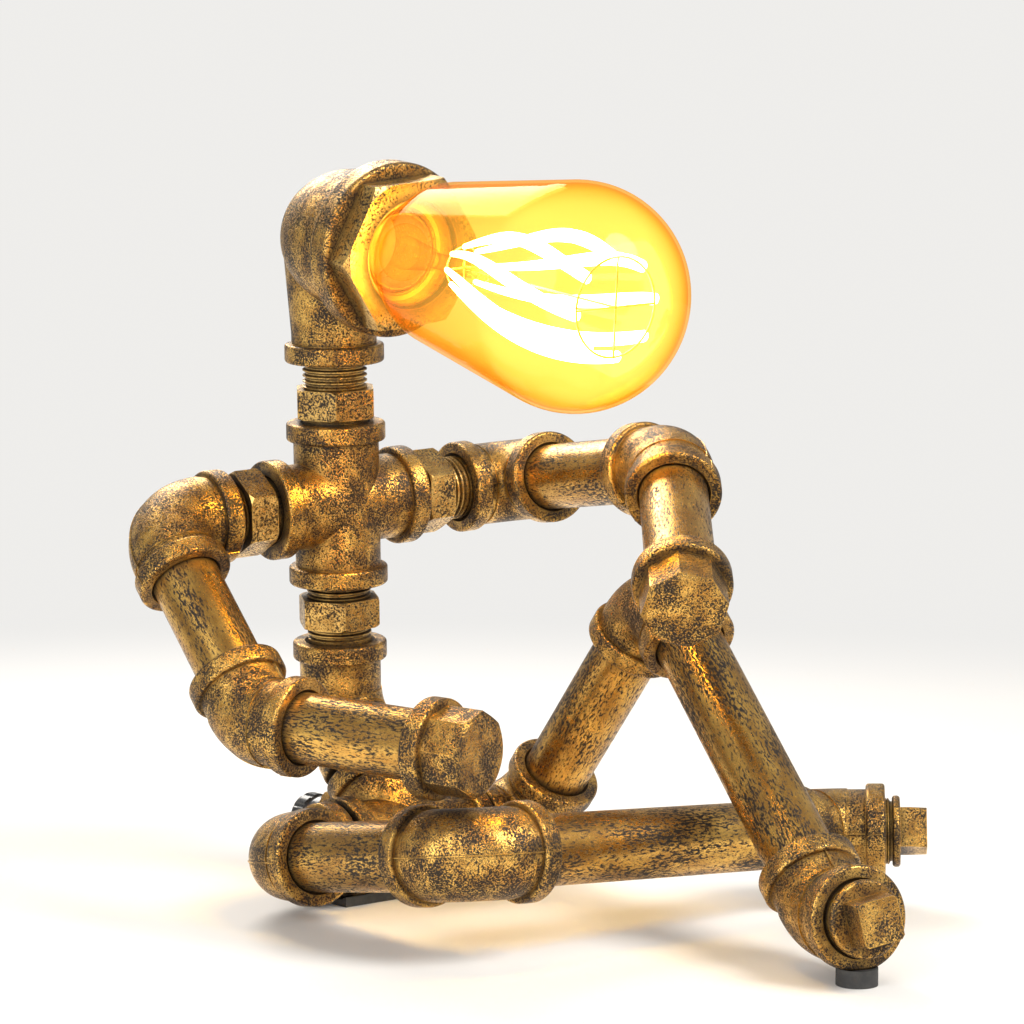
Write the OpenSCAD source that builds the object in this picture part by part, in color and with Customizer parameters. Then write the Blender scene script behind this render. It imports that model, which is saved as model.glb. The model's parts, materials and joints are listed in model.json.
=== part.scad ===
// Seated pipe-figure desk lamp.
// Threaded half-inch pipe fittings make the body, arms and legs, and a screw-in
// filament bulb in a reducing elbow makes the head.
// The figure faces -Y. +X is its left hand side. Z is up from the table.
// The origin is the middle of the seat pad's underside.
//
// Every limb is a chain. A fitting is drawn from the middle of its inlet face, with
// +Z going into it, and past_bend() steps to the outlet face of an elbow.

/* [Pipe] */
// Outer diameter of the pipe
pipe_d = 21.3; // [20:0.1:22]
// Bore of the pipe and of the nipples
pipe_bore = 16; // [12:0.5:17]
// Outer diameter of the pipe thread
thread_d = 20.8; // [19.6:0.1:20.9]
// Distance from one thread crest to the next
thread_pitch = 1.8; // [1.4:0.1:2.4]
// Depth of the thread
thread_depth = 1.0; // [0.5:0.1:1.2]
// Width across the flats of the nipple hexagons
nipple_flats = 24.4; // [23:0.1:27]
// Length of the nipple hexagons
nipple_hex_len = 9.5; // [6:0.5:10]

/* [Fittings] */
// Centre to face of the limb elbows
elbow_reach = 23.5; // [23:0.5:26]
// Centre to face of the limb half elbows
half_elbow_reach = 18; // [17:0.5:22]
// Diameter of the beads round the limb mouths
bead_d = 30; // [28:0.5:32]
// Width of the beads
bead_w = 6; // [5:0.5:8]
// Outer diameter of the fittings between their beads
body_d = 26.4; // [25:0.1:27.4]
// Centre to face of the chest cross
cross_reach = 26.5; // [25:0.5:30]
// Diameter of the beads of the chest cross, hip tee and head mouth
large_bead_d = 32; // [30:0.5:34]
// Outer diameter of the cross and the tee between their beads
large_body_d = 27.6; // [26:0.1:28.5]
// Centre to face of the hip tee
tee_reach = 26.5; // [25:0.5:30]
// Centre to face of the pelvis half elbow
pelvis_reach = 22.5; // [20:0.5:26]
// Width across the flats of the hand caps
cap_flats = 24; // [23:0.5:26]
// Length of the hand caps
cap_len = 19; // [17:0.5:22]
// Width of the square plug heads
plug_square = 12.6; // [12:0.1:15]
// Length of the square plug heads
plug_head_len = 8.3; // [8:0.1:11]
// Length of plug thread that stands out of a foot
plug_stand = 2.2; // [1.8:0.2:4]
// Outer diameter of the plug shoulders
shoulder_d = 22.4; // [21:0.2:24]
// Thickness of the plug shoulders
shoulder_w = 2.5; // [2:0.5:4]

/* [Lengths between faces] */
// Gap between the hip tee and each hip elbow
hip_gap = 1.5; // [1:0.5:3]
// Gap between the hip tee and the pelvis half elbow
seat_gap = 2.5; // [1.5:0.5:4]
// Length of the waist nipple in view
waist_len = 19; // [17:0.5:24]
// Length of the neck nipple in view
neck_len = 19.5; // [16:0.5:26]
// Length of the right shoulder nipple in view
right_shoulder_len = 15.5; // [13:0.5:20]
// Length of the left shoulder nipple in view
left_shoulder_len = 19; // [14:0.5:22]
// Length of the right upper arm in view
right_upper_arm_len = 37.5; // [37:0.5:42]
// Length of the right forearm in view
right_forearm_len = 44.5; // [42:0.5:46]
// Length of the left upper arm in view
left_upper_arm_len = 48; // [44:0.5:56]
// Length of the left forearm in view
left_forearm_len = 48.5; // [42:0.5:54]
// Length of the right thigh in view
right_thigh_len = 50.5; // [49:0.5:52]
// Length of the right shin in view
right_shin_len = 103.5; // [102:0.5:105]
// Length of the left thigh in view
left_thigh_len = 57.5; // [56:0.5:59]
// Length of the left shin in view
left_shin_len = 91; // [90:0.5:92]

/* [Pose] */
// Backward lean of the pelvis, in degrees from upright
pelvis_lean = 41; // [39:0.5:43]
// Turn of the pelvis half elbow in the hip tee
pelvis_turn = -95.5; // [-100:0.5:-90]
// Turn of the chest on the waist
chest_turn = -7; // [-12:0.5:0]
// Turn of the head on the neck
head_turn = -86; // [-100:0.5:-80]
// Turn of the right shoulder elbow
right_arm_turn = -130; // [-135:0.5:-125]
// Turn of the right half elbow on the upper arm
right_forearm_turn = -72; // [-78:0.5:-70]
// Turn of the left shoulder elbow
left_arm_turn = -100.5; // [-110:0.5:-90]
// Turn of the left half elbow on the upper arm
left_forearm_turn = -58.5; // [-70:0.5:-50]
// Turn of the right hip elbow
right_hip_turn = -81; // [-83:0.5:-79]
// Turn of the right knee
right_knee_turn = -85; // [-87:0.5:-83]
// Turn of the right foot
right_foot_turn = 98.5; // [90:0.5:105]
// Turn of the left hip elbow
left_hip_turn = -141; // [-142:0.5:-140]
// Turn of the left knee
left_knee_turn = -62.5; // [-64:0.5:-61]
// Turn of the left foot
left_foot_turn = 131; // [126:0.5:136]

/* [Head] */
// Neck mouth face to the middle of the head elbow
head_rise = 41; // [38:0.5:43]
// Middle of the head elbow to the face of its large mouth
head_reach = 35.5; // [34:0.5:40]
// Bend of the head elbow, in degrees
head_bend = 94.5; // [90:0.5:96]
// Diameter of the bead round the large mouth
head_bead_d = 55; // [52:0.5:56]
// Width of the bead round the large mouth
head_bead_w = 8.7; // [7:0.1:10]
// Outer diameter of the head elbow behind the bead
head_body_d = 45; // [43:0.5:49]
// Diameter of the thread in the large mouth
head_thread_d = 41.6; // [40:0.1:43]
// Width across the flats of the hexagon bushing
bushing_flats = 45; // [43:0.5:47]
// Thickness of the hexagon bushing in view
bushing_len = 8.5; // [7:0.5:9]
// Turn of the hexagon bushing in the large mouth
bushing_turn = 33.5; // [0:0.5:60]
// Outer diameter of the lamp holder
holder_d = 34; // [33:0.5:35]
// Depth of the lamp holder
holder_depth = 36; // [34:0.5:38]

/* [Bulb] */
// Largest diameter of the glass
bulb_d = 68; // [64:0.5:70]
// Large mouth face to the middle of the round end of the glass
bulb_centre = 88; // [84:1:94]
// Length of the round end over its radius
bulb_end_ratio = 0.96; // [0.7:0.01:1]
// Thickness of the glass
glass_wall = 0.9; // [0.7:0.1:1.5]
// Diameter of the screw cap
cap_d = 26.2; // [25.6:0.1:26.6]
// Diameter of the glass where it leaves the screw cap
glass_neck_d = 27; // [25:0.5:28]

/* [Seat and switch] */
// Width of the seat pad, along the hips
seat_pad_w = 58; // [50:1:60]
// Depth of the seat pad, front to back
seat_pad_depth = 15; // [12:0.5:18]
// Rubber below the lowest bead
pad_under = 1.5; // [1:0.1:2.5]
// Diameter of the left foot pad
foot_pad_d = 12; // [10:0.5:14]
// Outer diameter of the switch boss on the hip tee
boss_d = 23; // [22:0.5:24]
// How far the switch boss stands out beyond the reach of the hip tee
boss_stand = 4.5; // [4:0.5:8]
// Diameter of the switch knob
knob_d = 16; // [14:0.5:18]
// Length of the switch knob
knob_len = 14; // [12:0.5:18]
// Bore of the cable gland
cable_bore = 6.6; // [5:0.1:7.5]
// Outer diameter of the inner lead
lead_d = 5; // [4:0.1:6]

/* [Hidden] */
$fn = 64;

// Radial play of a thread in its socket
fit = 0.05;
// Cuts run past the faces they open by this much
eps = 0.5;
bronze = "#8a5a20";
dark = "#26211c";
brass = "#c8953f";

pipe_r = pipe_d / 2;
thread_r = thread_d / 2;
socket_r = thread_r + fit;
socket_depth = 11;
spigot_len = 10;
mouth_r = pipe_r + 0.9;
mouth_chamfer = mouth_r - socket_r;
passage_r = pipe_bore / 2;
// Radius of the inside of a bend
bend_throat = 1.8;
bend_radius = body_d / 2 + bend_throat;
bend_lap = 1;
// The inner lead is this much fuller in radius where it turns a corner
lead_knuckle = 0.4;
bend_swell = 0.6;
edge_round = 1;
plug_hole = 6;
hip_height = large_bead_d / 2 + pad_under;
boss_reach = tee_reach + boss_stand;

// ------------------------------------------------------------------ chain steps

module along(len) {
    translate([0, 0, len]) children();
}

module past_bend(angle, reach, turn) {
    rotate([0, 0, turn]) along(reach)
    rotate([0, angle, 0]) along(reach)
    rotate([0, 0, -turn]) children();
}

module at_hips() { along(hip_height) children(); }
module at_branch() { at_hips() rotate([-pelvis_lean, 0, 0]) children(); }
module at_pelvis() { at_branch() along(tee_reach + seat_gap) children(); }
module at_waist() {
    at_pelvis() past_bend(45, pelvis_reach, pelvis_turn) children();
}
module at_chest() {
    at_waist() along(waist_len + cross_reach) rotate([0, 0, chest_turn]) children();
}
module at_neck() { at_chest() along(cross_reach) children(); }
module at_head() { at_neck() along(neck_len) rotate([0, 0, head_turn]) children(); }
module at_mouth() {
    at_head() along(head_rise) rotate([0, head_bend, 0]) along(head_reach) children();
}

module at_right_shoulder() {
    at_chest() rotate([0, -90, 0]) along(cross_reach + right_shoulder_len) children();
}
module at_right_upper_arm() {
    at_right_shoulder() past_bend(90, elbow_reach, right_arm_turn) children();
}
module at_right_arm_elbow() {
    at_right_upper_arm() along(right_upper_arm_len) children();
}
module at_right_forearm() {
    at_right_arm_elbow() past_bend(45, half_elbow_reach, right_forearm_turn) children();
}
module at_left_shoulder() {
    at_chest() rotate([0, 90, 0]) along(cross_reach + left_shoulder_len) children();
}
module at_left_upper_arm() {
    at_left_shoulder() past_bend(90, elbow_reach, left_arm_turn) children();
}
module at_left_arm_elbow() {
    at_left_upper_arm() along(left_upper_arm_len) children();
}
module at_left_forearm() {
    at_left_arm_elbow() past_bend(45, half_elbow_reach, left_forearm_turn) children();
}

module at_right_hip() {
    at_hips() rotate([0, -90, 0]) along(tee_reach + hip_gap) children();
}
module at_right_thigh() {
    at_right_hip() past_bend(90, elbow_reach, right_hip_turn) children();
}
module at_right_knee() { at_right_thigh() along(right_thigh_len) children(); }
module at_right_shin() {
    at_right_knee() past_bend(90, elbow_reach, right_knee_turn) children();
}
module at_right_foot() { at_right_shin() along(right_shin_len) children(); }
module at_right_toe() {
    at_right_foot() past_bend(45, half_elbow_reach, right_foot_turn) children();
}
module at_left_hip() {
    at_hips() rotate([0, 90, 0]) along(tee_reach + hip_gap) children();
}
module at_left_thigh() {
    at_left_hip() past_bend(90, elbow_reach, left_hip_turn) children();
}
module at_left_knee() { at_left_thigh() along(left_thigh_len) children(); }
module at_left_shin() {
    at_left_knee() past_bend(90, elbow_reach, left_knee_turn) children();
}
module at_left_foot() { at_left_shin() along(left_shin_len) children(); }
module at_left_toe() {
    at_left_foot() past_bend(45, half_elbow_reach, left_foot_turn) children();
}

// ------------------------------------------------------------------ fitting forms

// A disc with its rims rounded, standing on z = 0.
module rounded_disc(d, w, round = edge_round) {
    rotate_extrude() {
        square([d / 2 - round, w]);
        translate([0, round]) square([d / 2, w - 2 * round]);
        translate([d / 2 - round, round]) circle(r = round, $fn = 24);
        translate([d / 2 - round, w - round]) circle(r = round, $fn = 24);
    }
}

// The outside of one mouth: a bead at z = 0 and the body up to z = len.
module mouth_form(len, d_bead, d_body) {
    rounded_disc(d_bead, bead_w);
    cylinder(d = d_body, h = len);
}

// What is cut out of one mouth: a bevelled socket for the thread.
module mouth_cut() {
    translate([0, 0, -eps]) cylinder(r = socket_r, h = socket_depth + eps);
    cylinder(r1 = mouth_r, r2 = socket_r, h = mouth_chamfer);
    translate([0, 0, -eps]) cylinder(r = mouth_r, h = eps);
}

// A round bar that bends from +Z towards +X. Its straight ends meet at z = reach,
// and the bend itself is slightly fuller than they are.
module bent_bar(angle, reach, d) {
    straight = reach - bend_radius * tan(angle / 2) + bend_lap;
    cylinder(d = d, h = straight);
    translate([bend_radius, 0, straight - bend_lap]) rotate([90, 0, 0])
    rotate([0, 0, 180 - angle])
    rotate_extrude(angle = angle) translate([bend_radius, 0]) circle(d = d + bend_swell);
    translate([0, 0, reach]) rotate([0, angle, 0])
    translate([0, 0, reach - straight]) cylinder(d = d, h = straight);
}

// An elbow with a bead at both mouths, and whatever children are cast onto it.
module elbow(angle, reach, turn, d_bead = bead_d, d_body = body_d) {
    rotate([0, 0, turn]) difference() {
        union() {
            bent_bar(angle, reach, d_body);
            rounded_disc(d_bead, bead_w);
            translate([0, 0, reach]) rotate([0, angle, 0]) translate([0, 0, reach])
            rotate([180, 0, 0]) rounded_disc(d_bead, bead_w);
            children();
        }
        bent_bar(angle, reach, pipe_bore);
        mouth_cut();
        translate([0, 0, reach]) rotate([0, angle, 0]) translate([0, 0, reach])
        rotate([180, 0, 0]) mouth_cut();
    }
}

// Crests and roots of a thread as plain rings, from z = 0 to z = len.
module thread_rings(d, len, pitch = thread_pitch, depth = thread_depth) {
    crest = d / 2;
    root = crest - depth;
    rings = floor(len / pitch);
    rotate_extrude() {
        square([root, len]);
        for (i = [0 : rings - 1])
            translate([0, i * pitch])
            polygon([[0, 0.1 * pitch], [root, 0.1 * pitch], [crest, 0.4 * pitch],
                     [crest, 0.6 * pitch], [root, 0.9 * pitch], [0, 0.9 * pitch]]);
    }
}

// A hexagon with its corners turned down at both ends.
module turned_hexagon(flats, len, bevel = 0.9) {
    corner = flats / sqrt(3);
    intersection() {
        cylinder(r = corner, h = len, $fn = 6);
        union() {
            translate([0, 0, bevel]) cylinder(r = corner + 1, h = len - 2 * bevel);
            cylinder(r1 = corner - bevel, r2 = corner, h = bevel);
            translate([0, 0, len - bevel])
            cylinder(r1 = corner, r2 = corner - bevel, h = bevel);
        }
    }
}

// A nipple with len in view. Its hexagon starts hex_from above the lower mouth.
module nipple(len, hex_from) {
    hex_end = hex_from + nipple_hex_len;
    difference() {
        union() {
            translate([0, 0, -spigot_len]) cylinder(r = thread_r, h = spigot_len + 0.6);
            translate([0, 0, 0]) thread_rings(thread_d, hex_from + 0.4);
            translate([0, 0, hex_from]) turned_hexagon(nipple_flats, nipple_hex_len);
            translate([0, 0, hex_end - 0.4]) thread_rings(thread_d, len - hex_end + 0.8);
            translate([0, 0, len - 0.4]) cylinder(r = thread_r, h = spigot_len + 0.4);
        }
        translate([0, 0, -spigot_len - eps])
        cylinder(r = passage_r, h = len + 2 * spigot_len + 2 * eps);
    }
}

// A nipple that is all thread, across a narrow gap.
module close_nipple(gap) {
    difference() {
        translate([0, 0, -spigot_len]) cylinder(r = thread_r, h = gap + 2 * spigot_len);
        translate([0, 0, -spigot_len - eps])
        cylinder(r = passage_r, h = gap + 2 * spigot_len + 2 * eps);
    }
}

// A pipe with len in view. Its full diameter runs a little way into both mouths.
module pipe(len) {
    entry = 0.6;
    difference() {
        union() {
            translate([0, 0, -spigot_len]) cylinder(r = thread_r, h = len + 2 * spigot_len);
            translate([0, 0, -entry]) cylinder(r = pipe_r, h = len + 2 * entry);
        }
        translate([0, 0, -spigot_len - eps])
        cylinder(r = passage_r, h = len + 2 * spigot_len + 2 * eps);
    }
}

// An octagon cap with a bead at its mouth and a turned-down end
module hand_cap() {
    dome = 1.2;
    cap_end = 2;
    corner = cap_flats / 2 / cos(180 / cap_sides);
    difference() {
        union() {
            rounded_disc(bead_d, bead_w);
            intersection() {
                cylinder(r = corner, h = cap_len, $fn = cap_sides);
                union() {
                    cylinder(r = corner + 1, h = cap_len - dome);
                    translate([0, 0, cap_len - dome])
                    cylinder(r1 = corner + 0.2, r2 = corner - 1.8, h = dome);
                }
            }
        }
        mouth_cut();
        translate([0, 0, socket_depth - 1])
        cylinder(r = passage_r, h = cap_len - socket_depth + 1 - cap_end);
    }
}

// A plug with a round shoulder and a square head, standing clear of the mouth that it closes.
module plug() {
    head_from = plug_stand + shoulder_w;
    difference() {
        union() {
            translate([0, 0, -spigot_len]) cylinder(r = thread_r, h = spigot_len + 0.4);
            thread_rings(thread_d, plug_stand + 0.2);
            translate([0, 0, plug_stand]) rounded_disc(shoulder_d, shoulder_w);
            intersection() {
                translate([-plug_square / 2, -plug_square / 2, head_from - 0.2])
                cube([plug_square, plug_square, plug_head_len + 0.2]);
                translate([0, 0, head_from - 1])
                cylinder(d1 = plug_square * 1.5, d2 = plug_square * 1.3,
                         h = plug_head_len + 1);
            }
        }
        translate([0, 0, -spigot_len - eps])
        cylinder(d = plug_hole, h = spigot_len + plug_stand + eps);
    }
}

// ------------------------------------------------------------------ hips and legs

module seat_pad() {
    color(dark) difference() {
        translate([-seat_pad_w / 2, -seat_pad_depth / 2, 0])
        cube([seat_pad_w, seat_pad_depth, pad_under + 1.6]);
        at_hips() rotate([0, 90, 0])
        cylinder(d = large_bead_d, h = seat_pad_w + 2, center = true);
    }
}

module hip_tee() {
    run = 2 * tee_reach;
    color(bronze) at_hips() difference() {
        union() {
            for (side = [-90, 90])
                rotate([0, side, 0]) translate([0, 0, tee_reach]) rotate([180, 0, 0])
                mouth_form(tee_reach, large_bead_d, large_body_d);
            rotate([-pelvis_lean, 0, 0]) translate([0, 0, tee_reach]) rotate([180, 0, 0])
            mouth_form(tee_reach, large_bead_d, large_body_d);
            rotate([-90, 0, 0]) cylinder(d = boss_d, h = boss_reach);
        }
        rotate([0, 90, 0]) cylinder(r = passage_r, h = run, center = true);
        rotate([-pelvis_lean, 0, 0]) cylinder(r = passage_r, h = tee_reach);
        for (side = [-90, 90])
            rotate([0, side, 0]) translate([0, 0, tee_reach]) rotate([180, 0, 0])
            mouth_cut();
        rotate([-pelvis_lean, 0, 0]) translate([0, 0, tee_reach]) rotate([180, 0, 0])
        mouth_cut();
        rotate([-90, 0, 0]) cylinder(r = switch_pocket_r, h = boss_reach + eps);
    }
}

module seat_nipple() {
    color(bronze) at_branch() along(tee_reach) close_nipple(seat_gap);
}

module right_hip_nipple() {
    color(bronze) at_hips() rotate([0, -90, 0]) along(tee_reach) close_nipple(hip_gap);
}

module left_hip_nipple() {
    color(bronze) at_hips() rotate([0, 90, 0]) along(tee_reach) close_nipple(hip_gap);
}

module right_hip_elbow() {
    color(bronze) at_right_hip() elbow(90, elbow_reach, right_hip_turn);
}

// The left hip elbow has a drilled boss at its back for the cable gland.
module left_hip_elbow() {
    color(bronze) difference() {
        at_left_hip() elbow(90, elbow_reach, left_hip_turn)
        rotate([0, 0, -left_hip_turn]) along(elbow_reach) rotate([-90, 0, 0])
        cylinder(d = gland_boss_d, h = gland_boss_len);
        at_gland() translate([0, 0, -gland_boss_len - lead_room])
        cylinder(r = gland_thread_r + fit, h = gland_boss_len + lead_room + eps);
    }
}

module right_thigh_pipe() { color(bronze) at_right_thigh() pipe(right_thigh_len); }
module left_thigh_pipe() { color(bronze) at_left_thigh() pipe(left_thigh_len); }
module right_shin_pipe() { color(bronze) at_right_shin() pipe(right_shin_len); }
module left_shin_pipe() { color(bronze) at_left_shin() pipe(left_shin_len); }

module right_knee_elbow() {
    color(bronze) at_right_knee() elbow(90, elbow_reach, right_knee_turn);
}

module left_knee_elbow() {
    color(bronze) at_left_knee() elbow(90, elbow_reach, left_knee_turn);
}

module right_foot_elbow() {
    color(bronze) at_right_foot() elbow(45, half_elbow_reach, right_foot_turn);
}

module left_foot_elbow() {
    color(bronze) at_left_foot() elbow(45, half_elbow_reach, left_foot_turn);
}

module right_foot_plug() {
    color(bronze) at_right_toe() rotate([0, 0, right_plug_twist]) plug();
}

module left_foot_plug() {
    color(bronze) at_left_toe() rotate([0, 0, left_plug_twist]) plug();
}

// The pad under the left foot is moulded to the foot's lowest bead.
module left_foot_pad() {
    color(dark) difference() {
        translate([left_foot_pad_at[0], left_foot_pad_at[1], 0])
        cylinder(d = foot_pad_d, h = foot_pad_h);
        at_left_toe() rotate([180, 0, 0]) {
            translate([0, 0, -1]) cylinder(d = bead_d + 0.1, h = bead_w + 1);
            cylinder(d = body_d + 0.1, h = half_elbow_reach);
        }
    }
}

// ------------------------------------------------------------------ pelvis and cord inlet

module pelvis_elbow() {
    color(bronze) at_pelvis()
    elbow(45, pelvis_reach, pelvis_turn, d_bead = bead_d + 0.6, d_body = body_d);
}

module waist_nipple() { color(bronze) at_waist() nipple(waist_len, waist_hex_from); }

waist_hex_from = 5;
neck_hex_from = 1.6;
right_shoulder_hex_from = 2.4;
left_shoulder_hex_from = 2;
right_plug_twist = -8;
left_plug_twist = 48;

// Where the cord comes in: at the back of the left hip elbow, pointing backwards
gland_thread_r = 7.9;
gland_boss_d = 21;
gland_boss_len = 16;
gland_hex_len = 6;
gland_nut_len = 13;
gland_flats = 19;
// The gland's hole runs this far past the middle of the hip elbow, for the lead's turn
lead_room = 4;

module at_gland() {
    at_hips() translate([tee_reach + hip_gap + elbow_reach, gland_boss_len, 0])
    rotate([-90, 0, 0]) children();
}

module cable_gland() {
    color(dark) at_gland() difference() {
        union() {
            translate([0, 0, -8]) cylinder(r = gland_thread_r, h = 8.2);
            turned_hexagon(gland_flats, gland_hex_len);
            translate([0, 0, gland_hex_len - 0.2]) cylinder(r = gland_thread_r - 0.4, h = 7.2);
        }
        translate([0, 0, -8 - eps]) cylinder(d = cable_bore, h = 8 + gland_hex_len + eps);
        translate([0, 0, gland_hex_len - 0.5]) cylinder(r = gland_seal_r + fit, h = 8);
    }
}

gland_seal_r = 5.6;

module gland_seal() {
    color("#3a3a3a") at_gland() translate([0, 0, gland_hex_len - 0.5]) difference() {
        cylinder(r = gland_seal_r, h = 7);
        translate([0, 0, -eps]) cylinder(d = cable_bore, h = 7 + 2 * eps);
    }
}

module gland_nut() {
    nut_from = gland_hex_len + 0.5;
    color(dark) at_gland() difference() {
        union() {
            translate([0, 0, nut_from]) turned_hexagon(gland_flats - 0.6, 7);
            translate([0, 0, nut_from]) cylinder(d = gland_flats - 1, h = gland_nut_len - 3);
            translate([0, 0, nut_from + gland_nut_len - 3.01])
            cylinder(d1 = gland_flats - 1, d2 = gland_flats - 7, h = 3);
        }
        translate([0, 0, nut_from - eps])
        cylinder(r = gland_thread_r - 0.4 + fit, h = 7.2 + eps);
        translate([0, 0, nut_from]) cylinder(d = cable_bore, h = gland_nut_len + eps);
    }
}

// The sheathed lead from the cable gland to the waist
module hip_lead() {
    lead_r = lead_d / 2;
    hip_x = tee_reach + hip_gap + elbow_reach;
    color("#202020") {
        at_gland() translate([0, 0, -gland_boss_len]) cylinder(r = lead_r, h = gland_boss_len - 8.4);
        at_hips() {
            translate([hip_x, 0, 0]) sphere(r = lead_r + lead_knuckle);
            rotate([0, 90, 0]) cylinder(r = lead_r, h = hip_x);
            sphere(r = lead_r + lead_knuckle);
        }
        at_branch() cylinder(r = lead_r, h = tee_reach + seat_gap + 0.1);
        at_pelvis() rotate([0, 0, pelvis_turn])
        bent_bar(45, pelvis_reach, lead_d + lead_knuckle);
        at_waist() translate([0, 0, -0.1]) cylinder(r = lead_r, h = waist_len);
    }
}

// ------------------------------------------------------------------ switch

switch_pocket_r = 6.2;
switch_body_d = 12;
switch_body_len = 6.5;
switch_lead_hole = 4;
switch_neck_d = 7;
cover_flats = 22;
cover_len = 4;
cover_spigot = 5;
nut_flats = 10;
nut_len = 2.2;
neck_stand = 3;
knob_gap = 0.8;
spindle_d = 6;

module at_switch() {
    at_hips() translate([0, boss_reach, 0]) rotate([-90, 0, 0]) children();
}

module switch_body() {
    body_end = -cover_spigot - 0.2;
    color("#3d5f8c") at_switch() difference() {
        union() {
            translate([0, 0, body_end - switch_body_len])
            cylinder(d = switch_body_d, h = switch_body_len);
            translate([0, 0, body_end - 0.1])
            cylinder(d = switch_neck_d, h = cover_len + neck_stand - body_end + 0.1);
        }
        translate([0, 0, body_end - 2])
        cylinder(d = spindle_d + 2 * fit, h = cover_len + neck_stand - body_end + 2 + eps);
        translate([0, 0, body_end - switch_body_len - eps])
        cylinder(d = lead_d + 0.6, h = switch_lead_hole);
    }
}

module switch_cover() {
    color(bronze) at_switch() difference() {
        union() {
            translate([0, 0, -cover_spigot]) cylinder(r = switch_pocket_r - fit, h = cover_spigot + 0.1);
            turned_hexagon(cover_flats, cover_len, 0.6);
        }
        translate([0, 0, -cover_spigot - eps])
        cylinder(d = switch_neck_d + 2 * fit, h = cover_spigot + cover_len + 2 * eps);
    }
}

module switch_nut() {
    color(brass) at_switch() translate([0, 0, cover_len]) difference() {
        turned_hexagon(nut_flats, nut_len, 0.3);
        translate([0, 0, -eps]) cylinder(d = switch_neck_d + 2 * fit, h = nut_len + 2 * eps);
    }
}

// A waisted knob with finger flutes, and the spindle moulded into it.
module switch_knob() {
    knob_from = cover_len + neck_stand + knob_gap;
    waist_at = knob_len * 0.45;
    flutes = 10;
    color(dark) at_switch() {
        translate([0, 0, knob_from]) difference() {
            rounded_disc(knob_d, knob_len, 2);
            translate([0, 0, waist_at]) rotate_extrude()
            translate([knob_d / 2 + 0.8, 0]) circle(r = 1.8, $fn = 32);
            for (i = [0 : flutes - 1])
                rotate([0, 0, i * 360 / flutes])
                translate([knob_d / 2 + 0.5, 0, waist_at + 1.4])
                cylinder(d = 2.4, h = knob_len, $fn = 24);
        }
        translate([0, 0, -cover_spigot - 1]) cylinder(d = spindle_d, h = knob_from + cover_spigot + 2);
    }
}

// ------------------------------------------------------------------ chest

module chest_cross() {
    color(bronze) at_chest() difference() {
        union() {
            for (side = [0, 90, 180, 270])
                rotate([0, side, 0]) translate([0, 0, cross_reach]) rotate([180, 0, 0])
                mouth_form(cross_reach, large_bead_d, large_body_d);
        }
        cylinder(r = passage_r, h = 2 * cross_reach, center = true);
        rotate([0, 90, 0]) cylinder(r = passage_r, h = 2 * cross_reach, center = true);
        for (side = [0, 90, 180, 270])
            rotate([0, side, 0]) translate([0, 0, cross_reach]) rotate([180, 0, 0])
            mouth_cut();
    }
}

module neck_nipple() { color(bronze) at_neck() nipple(neck_len, neck_hex_from); }

module right_shoulder_nipple() {
    color(bronze) at_chest() rotate([0, -90, 0]) along(cross_reach)
    nipple(right_shoulder_len, right_shoulder_hex_from);
}

module left_shoulder_nipple() {
    color(bronze) at_chest() rotate([0, 90, 0]) along(cross_reach)
    nipple(left_shoulder_len, left_shoulder_hex_from);
}

// The lead through the chest and the neck
module chest_lead() {
    color("#202020") at_waist() translate([0, 0, waist_len + 0.1])
    cylinder(d = lead_d, h = 2 * cross_reach + neck_len - 0.2);
}

// ------------------------------------------------------------------ arms

module right_shoulder_elbow() {
    color(bronze) at_right_shoulder() elbow(90, elbow_reach, right_arm_turn);
}
module right_upper_arm_pipe() {
    color(bronze) at_right_upper_arm() pipe(right_upper_arm_len);
}
module right_arm_elbow() {
    color(bronze) at_right_arm_elbow() elbow(45, half_elbow_reach, right_forearm_turn);
}
module right_forearm_pipe() { color(bronze) at_right_forearm() pipe(right_forearm_len); }
module right_hand_cap() {
    color(bronze) at_right_forearm() along(right_forearm_len) rotate([0, 0, right_cap_twist])
    hand_cap();
}
module left_shoulder_elbow() {
    color(bronze) at_left_shoulder() elbow(90, elbow_reach, left_arm_turn);
}
module left_upper_arm_pipe() {
    color(bronze) at_left_upper_arm() pipe(left_upper_arm_len);
}
module left_arm_elbow() {
    color(bronze) at_left_arm_elbow() elbow(45, half_elbow_reach, left_forearm_turn);
}
module left_forearm_pipe() { color(bronze) at_left_forearm() pipe(left_forearm_len); }
module left_hand_cap() {
    color(bronze) at_left_forearm() along(left_forearm_len) rotate([0, 0, left_cap_twist])
    hand_cap();
}

cap_sides = 8;
right_cap_twist = -14.5;
left_cap_twist = 0;

// ------------------------------------------------------------------ head

head_socket_len = 17;
holder_front = bushing_len - 2;
shell_wall = 1.4;
holder_floor = 2;
core_floor = 4;
tongue_len = 3.6;
shell_hole_d = 10;

// Outline of the large end of the head elbow: a rounded crown behind its straight part
function crown_outline() = concat(
    [[0, head_reach - 1]],
    [[head_body_d / 2, head_reach - 1]],
    [for (i = [0 : crown_steps])
        let (a = i * 90 / crown_steps)
        [head_body_d / 2 * cos(a), crown_centre - crown_depth * sin(a)]]
);

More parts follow.
